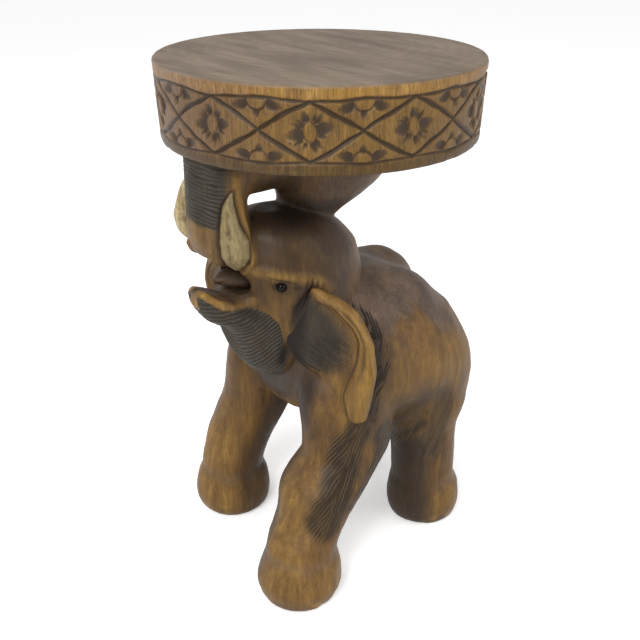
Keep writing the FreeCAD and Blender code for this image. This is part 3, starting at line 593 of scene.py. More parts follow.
def tree_rings(made):
    """Faint rings round a pith that lies off the seat's middle."""
    rings = made.node("ShaderNodeTexWave", wave_type="RINGS", rings_direction="Z", wave_profile="SIN")
    pith = made.node("ShaderNodeMapping")
    made.put(pith.inputs["Vector"], made.place)
    pith.inputs["Location"].default_value = (0.03, -0.02, 0)
    made.put(rings.inputs["Vector"], pith.outputs[0])
    rings.inputs["Scale"].default_value = 28.0
    rings.inputs["Distortion"].default_value = 5.0
    rings.inputs["Detail"].default_value = 3.0
    rings.inputs["Detail Scale"].default_value = 1.2
    return rings.outputs["Fac"]


def seat_wood():
    """The slab: honey rim with upright grain and dark flecks, grey brown top with faint rings and streaks.

    looks read: top (1 on the flat top), cut (depth in the carving), pink (share of the redder side),
    level (painted shade: brightness falling from the upper edge to the lower, as light from above falls).
    """
    made = Finish("seat_wood", 0.5, coat=0.03, shine=0.25)
    grain = made.noise(1.5, 5.0, 0.7, (1, 1, 12))
    streak = made.noise(5.0, 3.0, 0.6, (1, 1, 8), shift=2.0)
    mottle = made.noise(30.0, 3.0, 0.6, shift=5.0)
    fleck = made.noise(0.8, 2.0, 0.7, (1, 1, 7), shift=9.0)
    rim = made.mix(RIM_BROWN, RIM_HONEY, made.band(streak, 0.3, 0.7))
    rim = made.mix(rim, RIM_AMBER, made.band(mottle, 0.4, 0.7))
    rim = made.mix(rim, RIM_ROSE, made.look("pink"))
    rim = made.shade(rim, made.line(made.band(grain, 0.34, 0.64), 0.62, 0.68))
    rim = made.mix(RIM_FLECK, rim, made.band(fleck, 0.26, 0.44))
    # Painted shade: the rim darkens from its upper edge down to the lower
    rim = made.shade(rim, made.look("level"))

    wipe = made.noise(12.0, 4.0, 0.6, (6, 1, 1), shift=4.0)
    speck = made.noise(1.6, 3.0, 0.7, shift=6.0)
    blotch = made.noise(52.0, 4.0, 0.62, (2, 1, 1), shift=11.0)
    top = made.mix(TOP_GREY, TOP_WORN, made.band(wipe, 0.3, 0.7))
    top = made.shade(top, made.line(tree_rings(made), 0.1, 0.94))
    top = made.shade(top, made.line(made.band(speck, 0.3, 0.6), 0.16, 0.87))
    top = made.shade(top, made.line(made.band(blotch, 0.34, 0.56), 0.26, 0.8))
    colour = made.mix(rim, top, made.look("top"))
    colour = made.mix(colour, RIM_CUT, made.math("MULTIPLY", made.look("cut"), 0.92))
    height = made.math("ADD", made.math("MULTIPLY", grain, 0.7), made.math("MULTIPLY", speck, 0.3))
    return made.finish(colour, height, 0.3, made.line(made.look("top"), 0.06, 0.46))


TUSK_SHADE = tone(118, 103, 68)
TUSK_TONE = tone(152, 136, 96)
# Lighter copies of the two tones above, for the far tusk: painted light
TUSK_LIT_SHADE = tone(156, 138, 98)
TUSK_LIT_TONE = tone(196, 178, 136)
TUSK_STAIN = tone(122, 102, 62)
TUSK_SPECK = tone(88, 72, 46)
TUSK_CUT = tone(78, 64, 40)


def tusk_wood():
    """Pale aged tusk: long streaks, dark lines in the flutes and speckled wear.

    looks read: cut (depth in a groove), painted_light (share of a lighter copy of the tone: painted light
    on the far tusk).
    """
    made = Finish("tusk_wood", 0.45, coat=0.05, shine=0.3)
    streak = made.noise(3.0, 4.0, 0.6, (1, 1, 8))
    stain = made.noise(9.0, 4.0, 0.6, (1, 1, 2), shift=3.0)
    speck = made.noise(1.2, 3.0, 0.7, (1, 1, 2), shift=8.0)
    near = made.mix(TUSK_SHADE, TUSK_TONE, made.band(streak, 0.35, 0.65))
    # Painted light: the far tusk takes the lighter copy of the tone
    far = made.mix(TUSK_LIT_SHADE, TUSK_LIT_TONE, made.band(streak, 0.35, 0.65))
    colour = made.mix(near, far, made.look("painted_light"))
    colour = made.mix(colour, TUSK_STAIN, made.math("MULTIPLY", made.band(stain, 0.45, 0.75), 0.8))
    colour = made.mix(TUSK_SPECK, colour, made.band(speck, 0.3, 0.44))
    colour = made.mix(colour, TUSK_CUT, made.math("MULTIPLY", made.look("cut"), 0.85))
    return made.finish(colour, made.math("ADD", streak, made.math("MULTIPLY", speck, 0.6)), 0.3)


BEAD_BLACK = tone(7, 6, 6)
BEAD_CLOUD = tone(16, 13, 12)
DOWEL_SHADE = tone(150, 118, 78)
DOWEL_TONE = tone(190, 158, 112)


def bead():
    """Polished black bead with a barely uneven gloss."""
    made = Finish("eye_bead", 0.08, shine=0.12)
    cloud = made.noise(2.0, 2.0, 0.5)
    return made.finish(made.mix(BEAD_BLACK, BEAD_CLOUD, cloud), cloud, 0.01)


def turned_wood():
    """Plain turned hardwood of the hidden dowels."""
    made = Finish("dowel_wood", 0.6)
    grain = made.noise(1.2, 4.0, 0.6, UPRIGHT_GRAIN)
    return made.finish(made.mix(DOWEL_SHADE, DOWEL_TONE, made.band(grain, 0.35, 0.65)), grain, 0.2)


ANIMAL_WOOD = carved_wood("animal_wood")

# Carving tools

LOOKS = ("gold", "grey", "umber", "burn_and_shade", "cut", "hatch", "hatch_width")
LINE_DEPTH = 1.2
SCRATCH_WIDTH = 0.36
# The level direction between the animal's left and its rear along which hatching is laid out
ACROSS = (0.616, 0.788)
DIAGONAL = math.radians(38)


class Carving:
    """What knife and stain leave at a mass's points: depth in millimetres, outwards over 0, and looks."""

    def __init__(self, points, normal, seed, sizes, swells):
        """sizes: of a broad drift, a fine drift and two swells of the surface; the swells' heights follow."""
        self.points = points
        self.normal = normal
        noises = [value_noise(points, size, seed + number) for number, size in enumerate(sizes)]
        self.broad, self.fine = noises[:2]
        self.depth = swells[0] * noises[2] + swells[1] * noises[3]
        self.across = ACROSS[0] * points[:, 0] + ACROSS[1] * points[:, 1]
        self.looks = {name: np.zeros(len(points)) for name in LOOKS}

    def shape(self, height):
        """Adds wood, or cuts it away where the height is under 0."""
        self.depth = self.depth + height

    def stain(self, name, share):
        """Raises a look to the share where it is lower."""
        self.looks[name] = np.maximum(self.looks[name], share)

    def line(self, points, path, half_width):
        """A dark knife line along a path."""
        mark = stroke(points, path, half_width)
        self.shape(-LINE_DEPTH * mark)
        self.stain("cut", mark)

    def fold(self, path, deep, width, dark, dark_width):
        """A soft valley along a path, and its shade."""
        away, _ = near_path(self.points, path)
        self.shape(-deep * bell(away, width))
        self.stain("burn_and_shade", dark * bell(away, dark_width))

    def scratch(self, here, count, share):
        """Pale scratches on a dark patch, in place of other hatching there."""
        self.looks["hatch"] = np.where(here, count, self.looks["hatch"])
        self.looks["hatch_width"] = np.where(here, -SCRATCH_WIDTH * share, self.looks["hatch_width"])

    def finished(self):
        """Depth and looks, with gold, umber and burn_and_shade kept from 0 to 1."""
        for name in ("gold", "umber", "burn_and_shade"):
            self.looks[name] = np.clip(self.looks[name], 0, 1)
        return self.depth, self.looks


# Carving of the body

# Where the left ear's rear edge lies before the flank, from the top down
EAR_LINE = [
    (43, -22, 258), (59, -16, 254), (79, -14, 242), (90, -11, 231), (97, -13, 217),
    (101, -16, 200), (101, -22, 185), (104, -26, 170), (106, -33, 163), (109, -36, 150),
]
EAR_LINE_LENGTH = 146.0
EAR_STROKE_SLANT = math.radians(17)
# In front of these the ear covers the flank: (height, Y)
EAR_COVER = [(150, -36), (200, -16), (231, -11), (258, -22)]
# Lower limit of the dark wood on the left flank: (Y, height)
DARK_LIMIT = [
    (-40, 226), (-2, 236), (12, 237), (30, 240), (44, 246), (50, 238), (58, 226), (74, 214), (95, 205),
    (140, 196),
]
# Spine of the scorched feather on the front left leg, from the foot up
LEG_PATCH = [(118, -86, 84), (115, -74, 101), (111, -61, 122), (109, -52, 143), (109, -42, 156)]
THIGH_PATCH = [(98, 66, 152), (103, 70, 142), (104, 65, 125), (103, 61, 108), (102, 58, 92)]
BELLY_LINE = [(57, 47, 86), (78, 42, 108), (87, 43, 120), (94, 49, 134)]
# Tufts: (path, reach, spacing of the scratches, seed, share of grey)
TUFTS = [(BELLY_LINE, 13, 2.8, 64, 0.0), (THIGH_PATCH, 20, 2.6, 65, 0.4)]
SHOULDER_FOLDS = [
    [(88, -60, 212), (89, -62, 204), (90, -67, 184)],
    [(74, -74, 214), (80, -77, 202), (83, -74, 186)],
]
BELLY_CREASE = [(66, 46, 100), (78, 43, 106), (88, 46, 114), (95, 50, 122)]
# Folds: (depth, width, shade, width of the shade)
SHOULDER_FOLD = (1.6, 8, 0.36, 8)
BELLY_FOLD = (1.2, 7, 0.85, 11)
ANKLE_HEIGHT = 46
# Directions across the scratches: (along the level direction, up)
BEFORE_SPINE = (0.72, -0.69)
BEHIND_SPINE = (0.927, -0.375)
TUFT_WAY = (1, -0.35)


def left_half(x):
    """1 on the left of the body's middle, 0 on the right."""
    return ease(25, 45, x)


def facing_rear_left(normal):
    """How far a surface faces along the hatching's level direction, -1 to 1."""
    return normal[:, 0] * math.sin(DIAGONAL) + normal[:, 1] * math.cos(DIAGONAL)


def body_stains_and_shade(wood):
    """Umber back and breast, golden flank, legs and feet; painted shade on the legs' inner sides, the
    breast and under the lower flank.

    Returns the share of inner shade.
    """
    x, y, z = wood.points.T
    left = left_half(x)
    upper = ease(-9, 9, z - cubic(DARK_LIMIT, y)[:, 0] + 5 * wood.fine) * left
    upper = np.maximum(upper, ease(196, 224, z + 10 * wood.broad) * (1 - left))
    wood.stain("umber", upper * (1 - 0.65 * ease(66, 108, y)))
    # The breast is umber, and painted shade darkens it under the head
    breast = ease(-54, -68, y) * ease(146, 166, z) * ease(84, 70, x) * ease(-30, -8, x)
    wood.stain("umber", 0.6 * breast)
    wood.stain("burn_and_shade", 0.8 * breast)

    flank = ease(150, 190, z) * ease(225, 200, z) * left
    wood.stain("gold", 0.35 * flank * ease(-0.6, 0.5, wood.broad + 0.3))
    wood.stain("gold", 0.44 * ease(150, 70, z) * ease(-0.1, -0.9, wood.normal[:, 1] + 0.35 * wood.broad))
    wood.stain("gold", 0.45 * ease(60, 25, z) * ease(-0.6, 0.4, wood.broad))

    facing = facing_rear_left(wood.normal)
    # Painted shade on the inner sides of the legs
    left_leg, right_leg = ease(0.1, 0.6, -wood.normal[:, 0]), ease(0.05, 0.55, facing)
    inner = np.where(x > BODY_MIDDLE, left_leg, right_leg) * ease(175, 120, z)
    wood.stain("burn_and_shade", 0.55 * inner)
    rear_leg = ease(20, 34, y) * left * ease(128, 96, z) * ease(0.5, -0.2, facing + 0.35 * wood.broad)
    wood.stain("burn_and_shade", 0.76 * rear_leg)
    wood.stain("umber", 0.5 * rear_leg)
    # Painted shade under the lower flank, on surfaces facing down
    low_flank = left * ease(190, 150, z) * ease(-30, -5, y) * ease(70, 45, y)
    wood.stain("burn_and_shade", 0.58 * low_flank * ease(0.1, -0.4, wood.normal[:, 2]))
    return inner


def slanted_cuts(wood, way, drift, spacing, seed):
    """Cuts laid out over the level direction and the height, for a direction across them.

    The place across is way times (level place, height), and the place along is that turned by 90 degrees.
    """
    level, height = wood.across, wood.points[:, 2]
    across = way[0] * level + way[1] * height + drift * wood.fine
    return cuts(across, way[0] * height - way[1] * level, spacing, seed)


def ear_strokes(wood):
    """Shade behind the ear and long tapered strokes nearly along its edge."""
    x, y, z = wood.points.T
    away, passed = near_path(wood.points, EAR_LINE)
    behind = left_half(x) * ease(-5, -2, y - straight(EAR_COVER, z))
    beside = behind * ease(136, 152, z)
    # Painted shadow of the ear on the flank, darkest near its edge
    shade = 0.5 * bell(away, 24 + 5 * wood.fine) + 0.25 * bell(away, 9)
    wood.stain("burn_and_shade", beside * shade * ease(252, 232, z))
    wood.stain("grey", 0.35 * beside * bell(away, 40))
    down = passed * EAR_LINE_LENGTH
    across = away * math.cos(EAR_STROKE_SLANT) + down * math.sin(EAR_STROKE_SLANT) + 0.8 * wood.fine
    wood.looks["hatch"], share = cuts(across, down, 2.8, 61)
    reach = ease(146, 156, z) * ease(14, 8, away + 2.5 * wood.fine) * ease(260, 250, z)
    wood.looks["hatch_width"] = 0.95 * behind * share * reach


def leg_feather(wood):
    """Scorched feather on the front left leg.

    Its scratches leave the dark spine to the front and down, and run along it behind the spine.
    """
    x, y, z = wood.points.T
    fine = wood.fine
    distance, passed = near_path(wood.points, LEG_PATCH)
    spine = [(height, ACROSS[0] * out + ACROSS[1] * back) for out, back, height in LEG_PATCH]
    in_front = wood.across < straight(spine, z) - 1
    patch = bell(distance, 21 + 6 * ease(0, 0.45, 1 - passed) + 5 * fine)
    rear_band = ease(0.5, 0.85, facing_rear_left(wood.normal) + 0.1 * fine) * ease(160, 146, z)
    rear_band = rear_band * ease(78, 92, z) * ease(8, -8, y)
    patch = np.maximum(patch, 0.9 * rear_band * left_half(x))
    wood.stain("burn_and_shade", 0.8 * ease(0.03, 0.7, patch))
    before = slanted_cuts(wood, BEFORE_SPINE, 1.0, 2.9, 62)
    behind = slanted_cuts(wood, BEHIND_SPINE, 0.8, 2.7, 63)
    count, share = np.where(in_front, before, behind)
    wood.scratch(patch > 0.01, count, share * ease(0.02, 0.35, patch))


def tufts(wood):
    """Flame-like scratched tufts at the belly's edge and on the thigh."""
    for path, reach, spacing, seed, grey in TUFTS:
        distance, _ = near_path(wood.points, path)
        patch = bell(distance, reach + 4 * wood.fine)
        count, share = slanted_cuts(wood, TUFT_WAY, 0.8, spacing, seed)
        wood.scratch(patch > 0.02, count, share * ease(0.02, 0.4, patch))
        wood.stain("burn_and_shade", 0.5 * ease(0.08, 0.7, patch))
        wood.stain("grey", grey * patch)


def feet(wood):
    """Crease above each foot and knife facets round the soles, which show bare gold wood."""
    height = wood.points[:, 2]
    ankle = bell(height - ANKLE_HEIGHT - 4 * wood.fine, 8)
    wood.shape(-0.3 * ankle)
    wood.stain("umber", 0.35 * ankle)
    foot = ease(18, 4, height)
    facet = foot * np.clip(value_noise(wood.points, 8.0, 15) - 0.2, 0, 1)
    wood.shape(-1.8 * facet)
    worn = 0.42 * foot * ease(0.1, 0.5, wood.fine) * (1 - 2 * facet)
    wood.looks["burn_and_shade"] = np.maximum(wood.looks["burn_and_shade"] * (1 - facet), worn)
    wood.looks["gold"] = wood.looks["gold"] + 2.4 * facet


def body_looks(points, normal):
    """Depth of the body's carving, and its looks, at each point."""
    wood = Carving(points, normal, 11, (38.0, 9.0, 17.0, 6.0), (0.5, 0.22))
    inner = body_stains_and_shade(wood)
    for path in SHOULDER_FOLDS:
        wood.fold(path, *SHOULDER_FOLD)
    ear_strokes(wood)
    leg_feather(wood)
    tufts(wood)
    wood.fold(BELLY_CREASE, *BELLY_FOLD)
    wood.shape(-hatch_groove(wood.looks["hatch"], wood.looks["hatch_width"]))
    # Gold fades in the painted shade on the legs' inner sides
    wood.looks["gold"] = wood.looks["gold"] * (1 - 0.8 * inner)
    feet(wood)
    return wood.finished()


# Carving of the head

BROW = [(27, -100, 296), (39, -92, 296), (49, -81, 294), (57, -66, 291), (61, -50, 285), (63, -38, 275)]
EYE = (48.6, -79.0, 283.5)
LIDS = [
    [(45, -86, 287), (46, -85, 283), (47, -84, 279)],
    [(46, -84, 289), (47.5, -83, 284), (48.5, -82, 279)],
    [(41, -91, 294), (47, -83, 291), (53, -75, 288), (57, -67, 285)],
    [(52, -75, 283), (56, -68, 282), (58, -62, 281)],
    [(48, -83, 279), (52, -78, 277.5), (55, -72, 279)],
]
WRINKLES = [
    [(60, -60, 292), (60, -60, 280)],
    [(60.5, -56, 291), (60.5, -56, 279)],
    [(61, -51, 289), (61, -51, 277)],
    [(61.5, -46, 286), (61.5, -46, 275)],
]
CHEEK_CREASE = [
    (63, -58, 276), (57, -66, 262), (57, -69, 250), (57, -71, 238), (53, -74, 226), (44, -74, 211),
]
JAW_RIM = [
    (12, -136.5, 281), (18, -133.7, 278), (22, -130.8, 275.2), (24.6, -128, 272.8), (26, -124.5, 271),
    (26.8, -120, 269.6), (27, -113, 268.4), (26.8, -105, 267.8), (28.5, -98, 268.4), (32, -94, 269.5),
]
LIP_TIP = [(2, -138, 280), (7, -140, 275), (9, -138, 268)]
LIP_KNOB = (HEAD_MIDDLE, -138, 280)
# Upper edge of the throat's folds: (Y, height)
THROAT_EDGE = [
    (-137, 277), (-132, 272.5), (-129, 270), (-124, 266.5), (-115, 264.5), (-101, 263.5), (-95, 262),
    (-87, 257), (-80, 248), (-78, 239), (-74, 216), (-68, 186),
]
SIDE_STRIP = [
    (33, -109, 378), (34, -107, 364), (35, -105, 352), (36, -101, 337), (36, -99, 326), (37, -98, 316),
    (35, -100, 306),
]
TUSK_LIP = [
    (22, -130, 318), (23, -126, 311), (25, -118, 304), (27, -108, 299), (30, -101, 298), (35, -100, 306),
]
LIP_GOLD = [(27, -106, 298), (31, -101, 298), (35, -100, 304)]
TONGUE_CREASE = [(5, -120, 287), (8, -117, 283.5), (10, -115.5, 282.5), (14, -113, 285)]
# Middles of painted shade: the mouth's corner, the arch under the seat, and the head below it
MOUTH_CORNER = (23, -92, 279)
ARCH_MIDDLE = (24, -56, 333)
DARKEST = (30, -58, 326)
RIDGE_GAP = 3.5
THROAT_GAP = 4.4

# Each tusk's side and its rings: (height, out from the head's middle, Y, radius)
TUSKS = {
    "left_tusk": (1, [
        (302, 25, -111, 2.5), (308, 25.5, -111.5, 8.5), (316, 26, -112.3, 11.8), (327, 26.3, -113.7, 11.8),
        (334, 26, -115, 10), (343, 26.5, -117, 7.6), (356, 26, -117, 5.0), (369, 25, -113, 0.8),
    ]),
    "right_tusk": (-1, [
        (313, 25, -117, 2.5), (319, 26.5, -119.5, 8.5), (327, 27.4, -121.5, 11.8), (338, 28, -123.7, 11.8),
        (345, 27.6, -124.3, 10), (353, 27, -124.8, 7.6), (365, 25.3, -124, 5.0), (377, 23, -120, 0.8),
    ]),
}


class HeadCarving(Carving):
    """Carving of the head; folded places lie on its left half, so both sides get one design."""

    def __init__(self, points, normal):
        super().__init__(points, normal, 21, (30.0, 7.0, 15.0, 5.0), (0.35, 0.15))
        self.out = np.abs(points[:, 0] - HEAD_MIDDLE)
        self.folded = np.column_stack([HEAD_MIDDLE + self.out, points[:, 1], points[:, 2]])

    def away(self, path):
        """Distance of the folded places from a path."""
        return near_path(self.folded, path)[0]


def trunk_ridges(wood):
    """Ridges across the trunk's front. Returns the share of ridged wood."""
    x, y, z = wood.points.T
    front = ease(0.1, 0.4, -wood.normal[:, 1]) * ease(341, 345, z + 0.2 * (x - HEAD_MIDDLE))
    front = front * ease(30, 25, wood.out) * ease(-96, -104, y)
    ripple = off_lane((z + 0.24 * (x - HEAD_MIDDLE) + 1.3 * wood.fine + 1.2 * wood.broad) / RIDGE_GAP)
    strength = 0.75 + 0.35 * value_noise(wood.points * (1, 1, 3), 9.0, 25)
    wood.shape(-1.7 * front * valley(ripple, 0.36) * strength)
    wood.stain("cut", front * valley(ripple, 0.34) * strength)
    wood.stain("grey", front)
    return front


def throat_folds(wood):
    """Folds of the throat. Returns the share of folded wood.

    A fold's level is its height less a rise to the side, one to the rear and one round the cheek. A rise
    grows smoothly from 0, as sqrt(t^2 + s^2) - s to the side and as (t + sqrt(t^2 + s^2)) / 2 at the cheek.
    """
    y, z = wood.points[:, 1], wood.points[:, 2]
    upper = ease(222, 262, z)
    to_rear = 0.21 * (1 - upper) * (y + 100)
    to_side = (0.485 * (1 - upper) + 0.1 * upper) * (np.hypot(wood.out, 12) - 12)
    turned = ACROSS[0] * wood.folded[:, 0] + ACROSS[1] * y + 64
    round_cheek = (0.45 + 0.35 * upper) * 0.5 * (turned + np.hypot(turned, 14))
    level = z - to_rear - to_side - round_cheek + 1.2 * wood.fine + 1.5 * wood.broad
    ripple = off_lane(level / THROAT_GAP)
    throat = ease(-1.2, 1.2, straight(THROAT_EDGE, y) - z + 0.8 * wood.fine) * ease(-66, -72, y)
    throat = throat * ease(3, 5, wood.away(LIP_TIP))
    wood.shape(-1.5 * throat * valley(ripple, 0.4))
    wood.shape(0.3 * throat)
    wood.stain("cut", throat * (valley(ripple, 0.36) + 0.1) * (0.8 + 0.2 * wood.fine))
    wood.stain("grey", throat)
    return throat


def lower_lip(wood, throat):
    """Golden raised rim and tip of the jaw, the trough behind the rim, the mouth's floor and the cheek."""
    y, z = wood.points[:, 1], wood.points[:, 2]
    rim, tip = wood.away(JAW_RIM), wood.away(LIP_TIP)
    gold = np.maximum(0.8 * ease(5.6, 1.6, rim), 0.7 * ease(5, 3, tip))
    wood.stain("gold", gold)
    wood.stain("gold", 0.3 * knob(wood.folded, LIP_KNOB, 11))
    wood.shape(1.3 * bell(rim, 7))
    wood.shape(0.8 * bell(tip, 5))
    over_edge = z - straight(THROAT_EDGE, y)
    trough = ease(6, 9, over_edge) * ease(17, 12, over_edge) * ease(-92, -98, y) * (1 - gold)
    wood.shape(-0.7 * trough)
    inside = ease(0.2, 0.6, wood.normal[:, 2]) * ease(290, 284, z) * ease(266, 270, z)
    inside = inside * ease(28, 22, wood.out) * ease(-86, -92, y) * ease(2.5, 5, rim)
    tongue = ease(264, 270, z) * ease(297, 291, z) * ease(24, 18, wood.out)
    tongue = tongue * ease(-124, -116, y) * ease(-80, -90, y)
    # Painted shade in the mouth's hollow: the tongue, the floor and the trough behind the rim
    wood.stain("burn_and_shade", 0.3 * np.maximum(tongue, np.maximum(inside, 1.2 * trough)))
    wood.stain("umber", 0.5 * np.maximum(tongue, inside))
    cheek = ease(284, 272, z) * ease(6, 14, rim) * ease(-96, -84, y) * (1 - throat)
    wood.stain("gold", 0.28 * cheek * ease(214, 232, z))


def brow_and_strips(wood):
    """Golden brow, the strip beside the trunk and the lip under each tusk. Returns the strip's share."""
    brow, strip = wood.away(BROW), wood.away(SIDE_STRIP)
    wood.shape(2.0 * bell(brow, 8))
    wood.stain("gold", 0.75 * bell(brow, 8) * ease(-0.6, 0.3, wood.fine))
    lip_edge = bell(wood.away(TUSK_LIP), 5)
    wood.shape(1.4 * bell(strip, 6))
    wood.shape(3.4 * lip_edge)
    wood.stain("gold", 0.9 * bell(strip, 8))
    wood.stain("gold", 0.5 * lip_edge)
    wood.stain("gold", bell(wood.away(LIP_GOLD), 6) ** 0.5)
    return bell(strip, 8)


def eye_lines(wood):
    """Hollow round the eye, its lids, and wrinkles before the ear."""
    wood.shape(-1.3 * knob(wood.folded, EYE, 8.5))
    wood.stain("cut", 0.75 * knob(wood.folded, EYE, 8))
    for path in LIDS:
        wood.line(wood.folded, path, 1.5)
    for path in WRINKLES:
        wood.line(wood.folded, path, 2.0)


def tusk_beds(wood):
    """Dark groove where the trunk meets each tusk."""
    x, y, z = wood.points.T
    beside = np.full(len(x), np.inf)
    for side, rings in TUSKS.values():
        out, back, radius = cubic(rings, z).T
        gap = np.hypot(x - HEAD_MIDDLE - side * out, y - back) - radius
        beyond = np.clip(rings[0][0] - z, 0, None) + np.clip(z - rings[-1][0], 0, None)
        beside = np.minimum(beside, np.abs(np.hypot(gap, beyond)))
    wood.shape(-1.2 * bell(beside, 4))
    wood.stain("cut", 0.95 * bell(beside, 3.6) ** 0.6)


def head_burns_and_shade(wood):
    """Dark cheek crease; painted shade in the arch, under the bar and in the corner of the mouth; umber
    crown and nape.
    """
    y, z = wood.points[:, 1], wood.points[:, 2]
    crease = wood.away(CHEEK_CREASE)
    wood.shape(-2.2 * bell(crease, 7))
    wood.stain("burn_and_shade", 0.95 * bell(crease, 12) ** 0.8)
    wood.line(wood.points, TONGUE_CREASE, 1.8)
    # Painted shade in the arch under the seat
    arch = knob(wood.points, ARCH_MIDDLE, 31, (1.15, 1.1, 0.8))
    upward = ease(-0.4, 0.3, 0.2 * wood.broad + wood.normal[:, 2] + 0.6)
    wood.stain("burn_and_shade", 0.95 * arch ** 0.5 * upward)
    # Painted shade on the bar's underside, on surfaces facing down
    under_bar = ease(-92, -84, y) * ease(-30, -44, y) * ease(0.1, 0.6, -wood.normal[:, 2])
    wood.stain("burn_and_shade", 0.6 * under_bar * ease(340, 350, z))
    # Painted shade in the corner of the mouth
    wood.stain("burn_and_shade", 0.9 * knob(wood.points, MOUTH_CORNER, 8, (1.0, 1.3, 0.8)) ** 0.5)
    trunk_lip = ease(343, 337, z) * ease(-98, -108, y) * ease(300, 308, z) * ease(26, 20, wood.out)
    wood.stain("gold", 0.9 * trunk_lip)
    wood.stain("umber", 0.3 * trunk_lip + 0.32 * ease(305, 335, z) * ease(-90, -60, y) * (1 - arch))
    wood.stain("umber", 0.7 * ease(-45, -20, y) * ease(235, 255, z))


def painted_head_shade(wood, ridged, strip, throat):
    """Painted shade on the head: darker towards the arch under the seat, down the column and behind the
    throat; the lip's knob darkens too.
    """
    y, z = wood.points[:, 1], wood.points[:, 2]
    from_arch = np.linalg.norm((wood.points - DARKEST) / (1, 1, 1.1), axis=1)
    shaded = 0.6 * ease(104, 36, from_arch) * ease(352, 336, z) * ease(12, -18, y)
    shaded = shaded * (1 - ridged) * (1 - strip) * (1 - 0.7 * bell(wood.away(BROW), 9))
    # Painted shade down the side of the column
    column = ease(348, 342, z) * ease(330, 336, z) * ease(-60, -50, y) * ease(10, 0, y)
    column = column * ease(14, 24, wood.out)
    bare = (1 - wood.looks["burn_and_shade"]) * (1 - shaded) * (1 - 0.4 * column)
    wood.looks["burn_and_shade"] = 1 - bare * (1 - 0.35 * knob(wood.folded, LIP_KNOB, 11))
    # Painted shade under the jaw, behind the throat
    wood.stain("burn_and_shade", 0.55 * ease(238, 218, z) * ease(-58, -66, y) * (1 - throat))
    wood.looks["gold"] = wood.looks["gold"] * (1 - 0.8 * wood.looks["burn_and_shade"])


def head_looks(points, normal):
    """Depth of the head's carving, and its looks, at each point."""
    wood = HeadCarving(points, normal)
    ridged = trunk_ridges(wood)
    throat = throat_folds(wood)
    lower_lip(wood, throat)
    strip = brow_and_strips(wood)
    eye_lines(wood)
    tusk_beds(wood)
    head_burns_and_shade(wood)
    painted_head_shade(wood, ridged, strip, throat)
    return wood.finished()


# Carved pieces

# The head is meshed in three regions: planes as (value at the place, slope, place)
JAW_PLANE = (277.0, -0.35, -90.0)
TRUNK_PLANE = (-92.0, 0.18, 283.0)
JAW_BACK = -28.0
# No carved point may pass this far out
LIMIT = 139.0
SINK = 0.25
SINK_REACH = 1.5
OVERLAP = 4.0
SMOOTHING_ROUNDS = 4


def below_mouth(x, y, z):
    """How far a place lies under the slanting plane through the mouth, in front of the nape."""
    level, slope, at = JAW_PLANE
    return np.minimum(level + slope * (y - at) - z, JAW_BACK - y)


def before_arch(x, y, z):
    """How far a place lies in front of the slanting plane behind the trunk, above the mouth."""
    depth, slope, at = TRUNK_PLANE
    return np.minimum(depth + slope * (z - at) - y, -below_mouth(x, y, z))


def skull_side(x, y, z):
    """The rest of the head."""
    return -np.maximum(below_mouth(x, y, z), before_arch(x, y, z))


def sculpted(name, node, slot, field_of, looks_of, low, high, step, region=None):
    """Meshes one field, or its part in a region, carves it and adds it as a piece.

    Past its region's edge a part dips by SINK under its neighbour and ends, so the two meet in a line.
    """
    grid = Grid(low, high, step * COARSE)
    field = field_of(grid)
    if region is not None:
        past = -region(grid.x, grid.y, grid.z)
        dip = SINK * np.clip(past / SINK_REACH, 0, 1)
        field = np.maximum(field + dip, past - OVERLAP)
    points, faces = net(field, grid)
    points = smoothed(points, faces, SMOOTHING_ROUNDS)
    normal = normals(points, faces)
    depth, looks = looks_of(points, normal)
    points = points + depth[:, None] * normal
    points = np.clip(points, (-LIMIT, -LIMIT, 0), (LIMIT, LIMIT, SEAT_UNDERSIDE))
    add_piece(name, node, points, faces, ANIMAL_WOOD, looks)


# Seat

# Angles of the lozenges' crossings, in degrees from +X
CROSSINGS = np.array([-57.4, -24.7, 9.3, 41.9, 74.5, 107.1, 139.7, 172.2, 204.8, 237.4, 270, 302.6])
SEAT_THICKNESS = 67.0
TOP_RADIUS = 140.0
UNDER_RADIUS = 137.0
EDGE_ROUND = 2.5
SEAT_COLUMNS = 960
RIM_ROWS = 80
TOP_RINGS = (135, 130, 120, 104, 84, 62, 40, 18)
UNDER_RINGS = (20, 70, 120)
# Bearings of the two redder stretches of the rim
ROSE_BEARINGS = (262, 40)
UPPER_LINE = 57.4
LOWER_LINE = 8.8
MID_RIM = 33.5
BOSS_HALVES = (4.6, 7.0)
HALF_BOSS_HALVES = (7.2, 8.4)
# Chip cuts round each flower: (bearing, start and length outwards, half width, depth)
PETALS = [
    (4, 5.2, 13.0, 5.0, 2.3), (40, 7.0, 8.5, 2.0, 2.2), (66, 8.3, 6.0, 1.6, 1.8),
    (93, 7.6, 8.5, 3.2, 2.2), (124, 7.2, 7.5, 1.9, 2.0), (150, 7.0, 8.0, 1.9, 2.1),
    (176, 5.2, 13.0, 5.2, 2.3), (215, 7.2, 8.5, 2.0, 2.2), (243, 7.8, 6.0, 1.6, 1.8),
    (268, 7.8, 8.5, 3.0, 2.2), (300, 7.4, 8.0, 2.0, 2.1), (328, 7.0, 7.5, 1.8, 2.0),
]


def chip(along, beside, length, half_width):
    """A leaf-shaped chip cut: 1 at its steep start, a third at its pointed far end, flat across.

    With s the share of the length, its half width goes as the square root of sin(pi s^0.6).
    """
    share = np.clip(along / length, 0, 1)
    width = half_width * np.sqrt(np.clip(np.sin(math.pi * share ** 0.6), 0.01, 1))
    floor_line = (1 - 0.66 * share) * ease(-0.5, 0.5, along) * ease(length + 0.5, length - 0.5, along)
    return floor_line * np.clip(1 - (beside / width) ** 2, 0, 1) ** 0.3


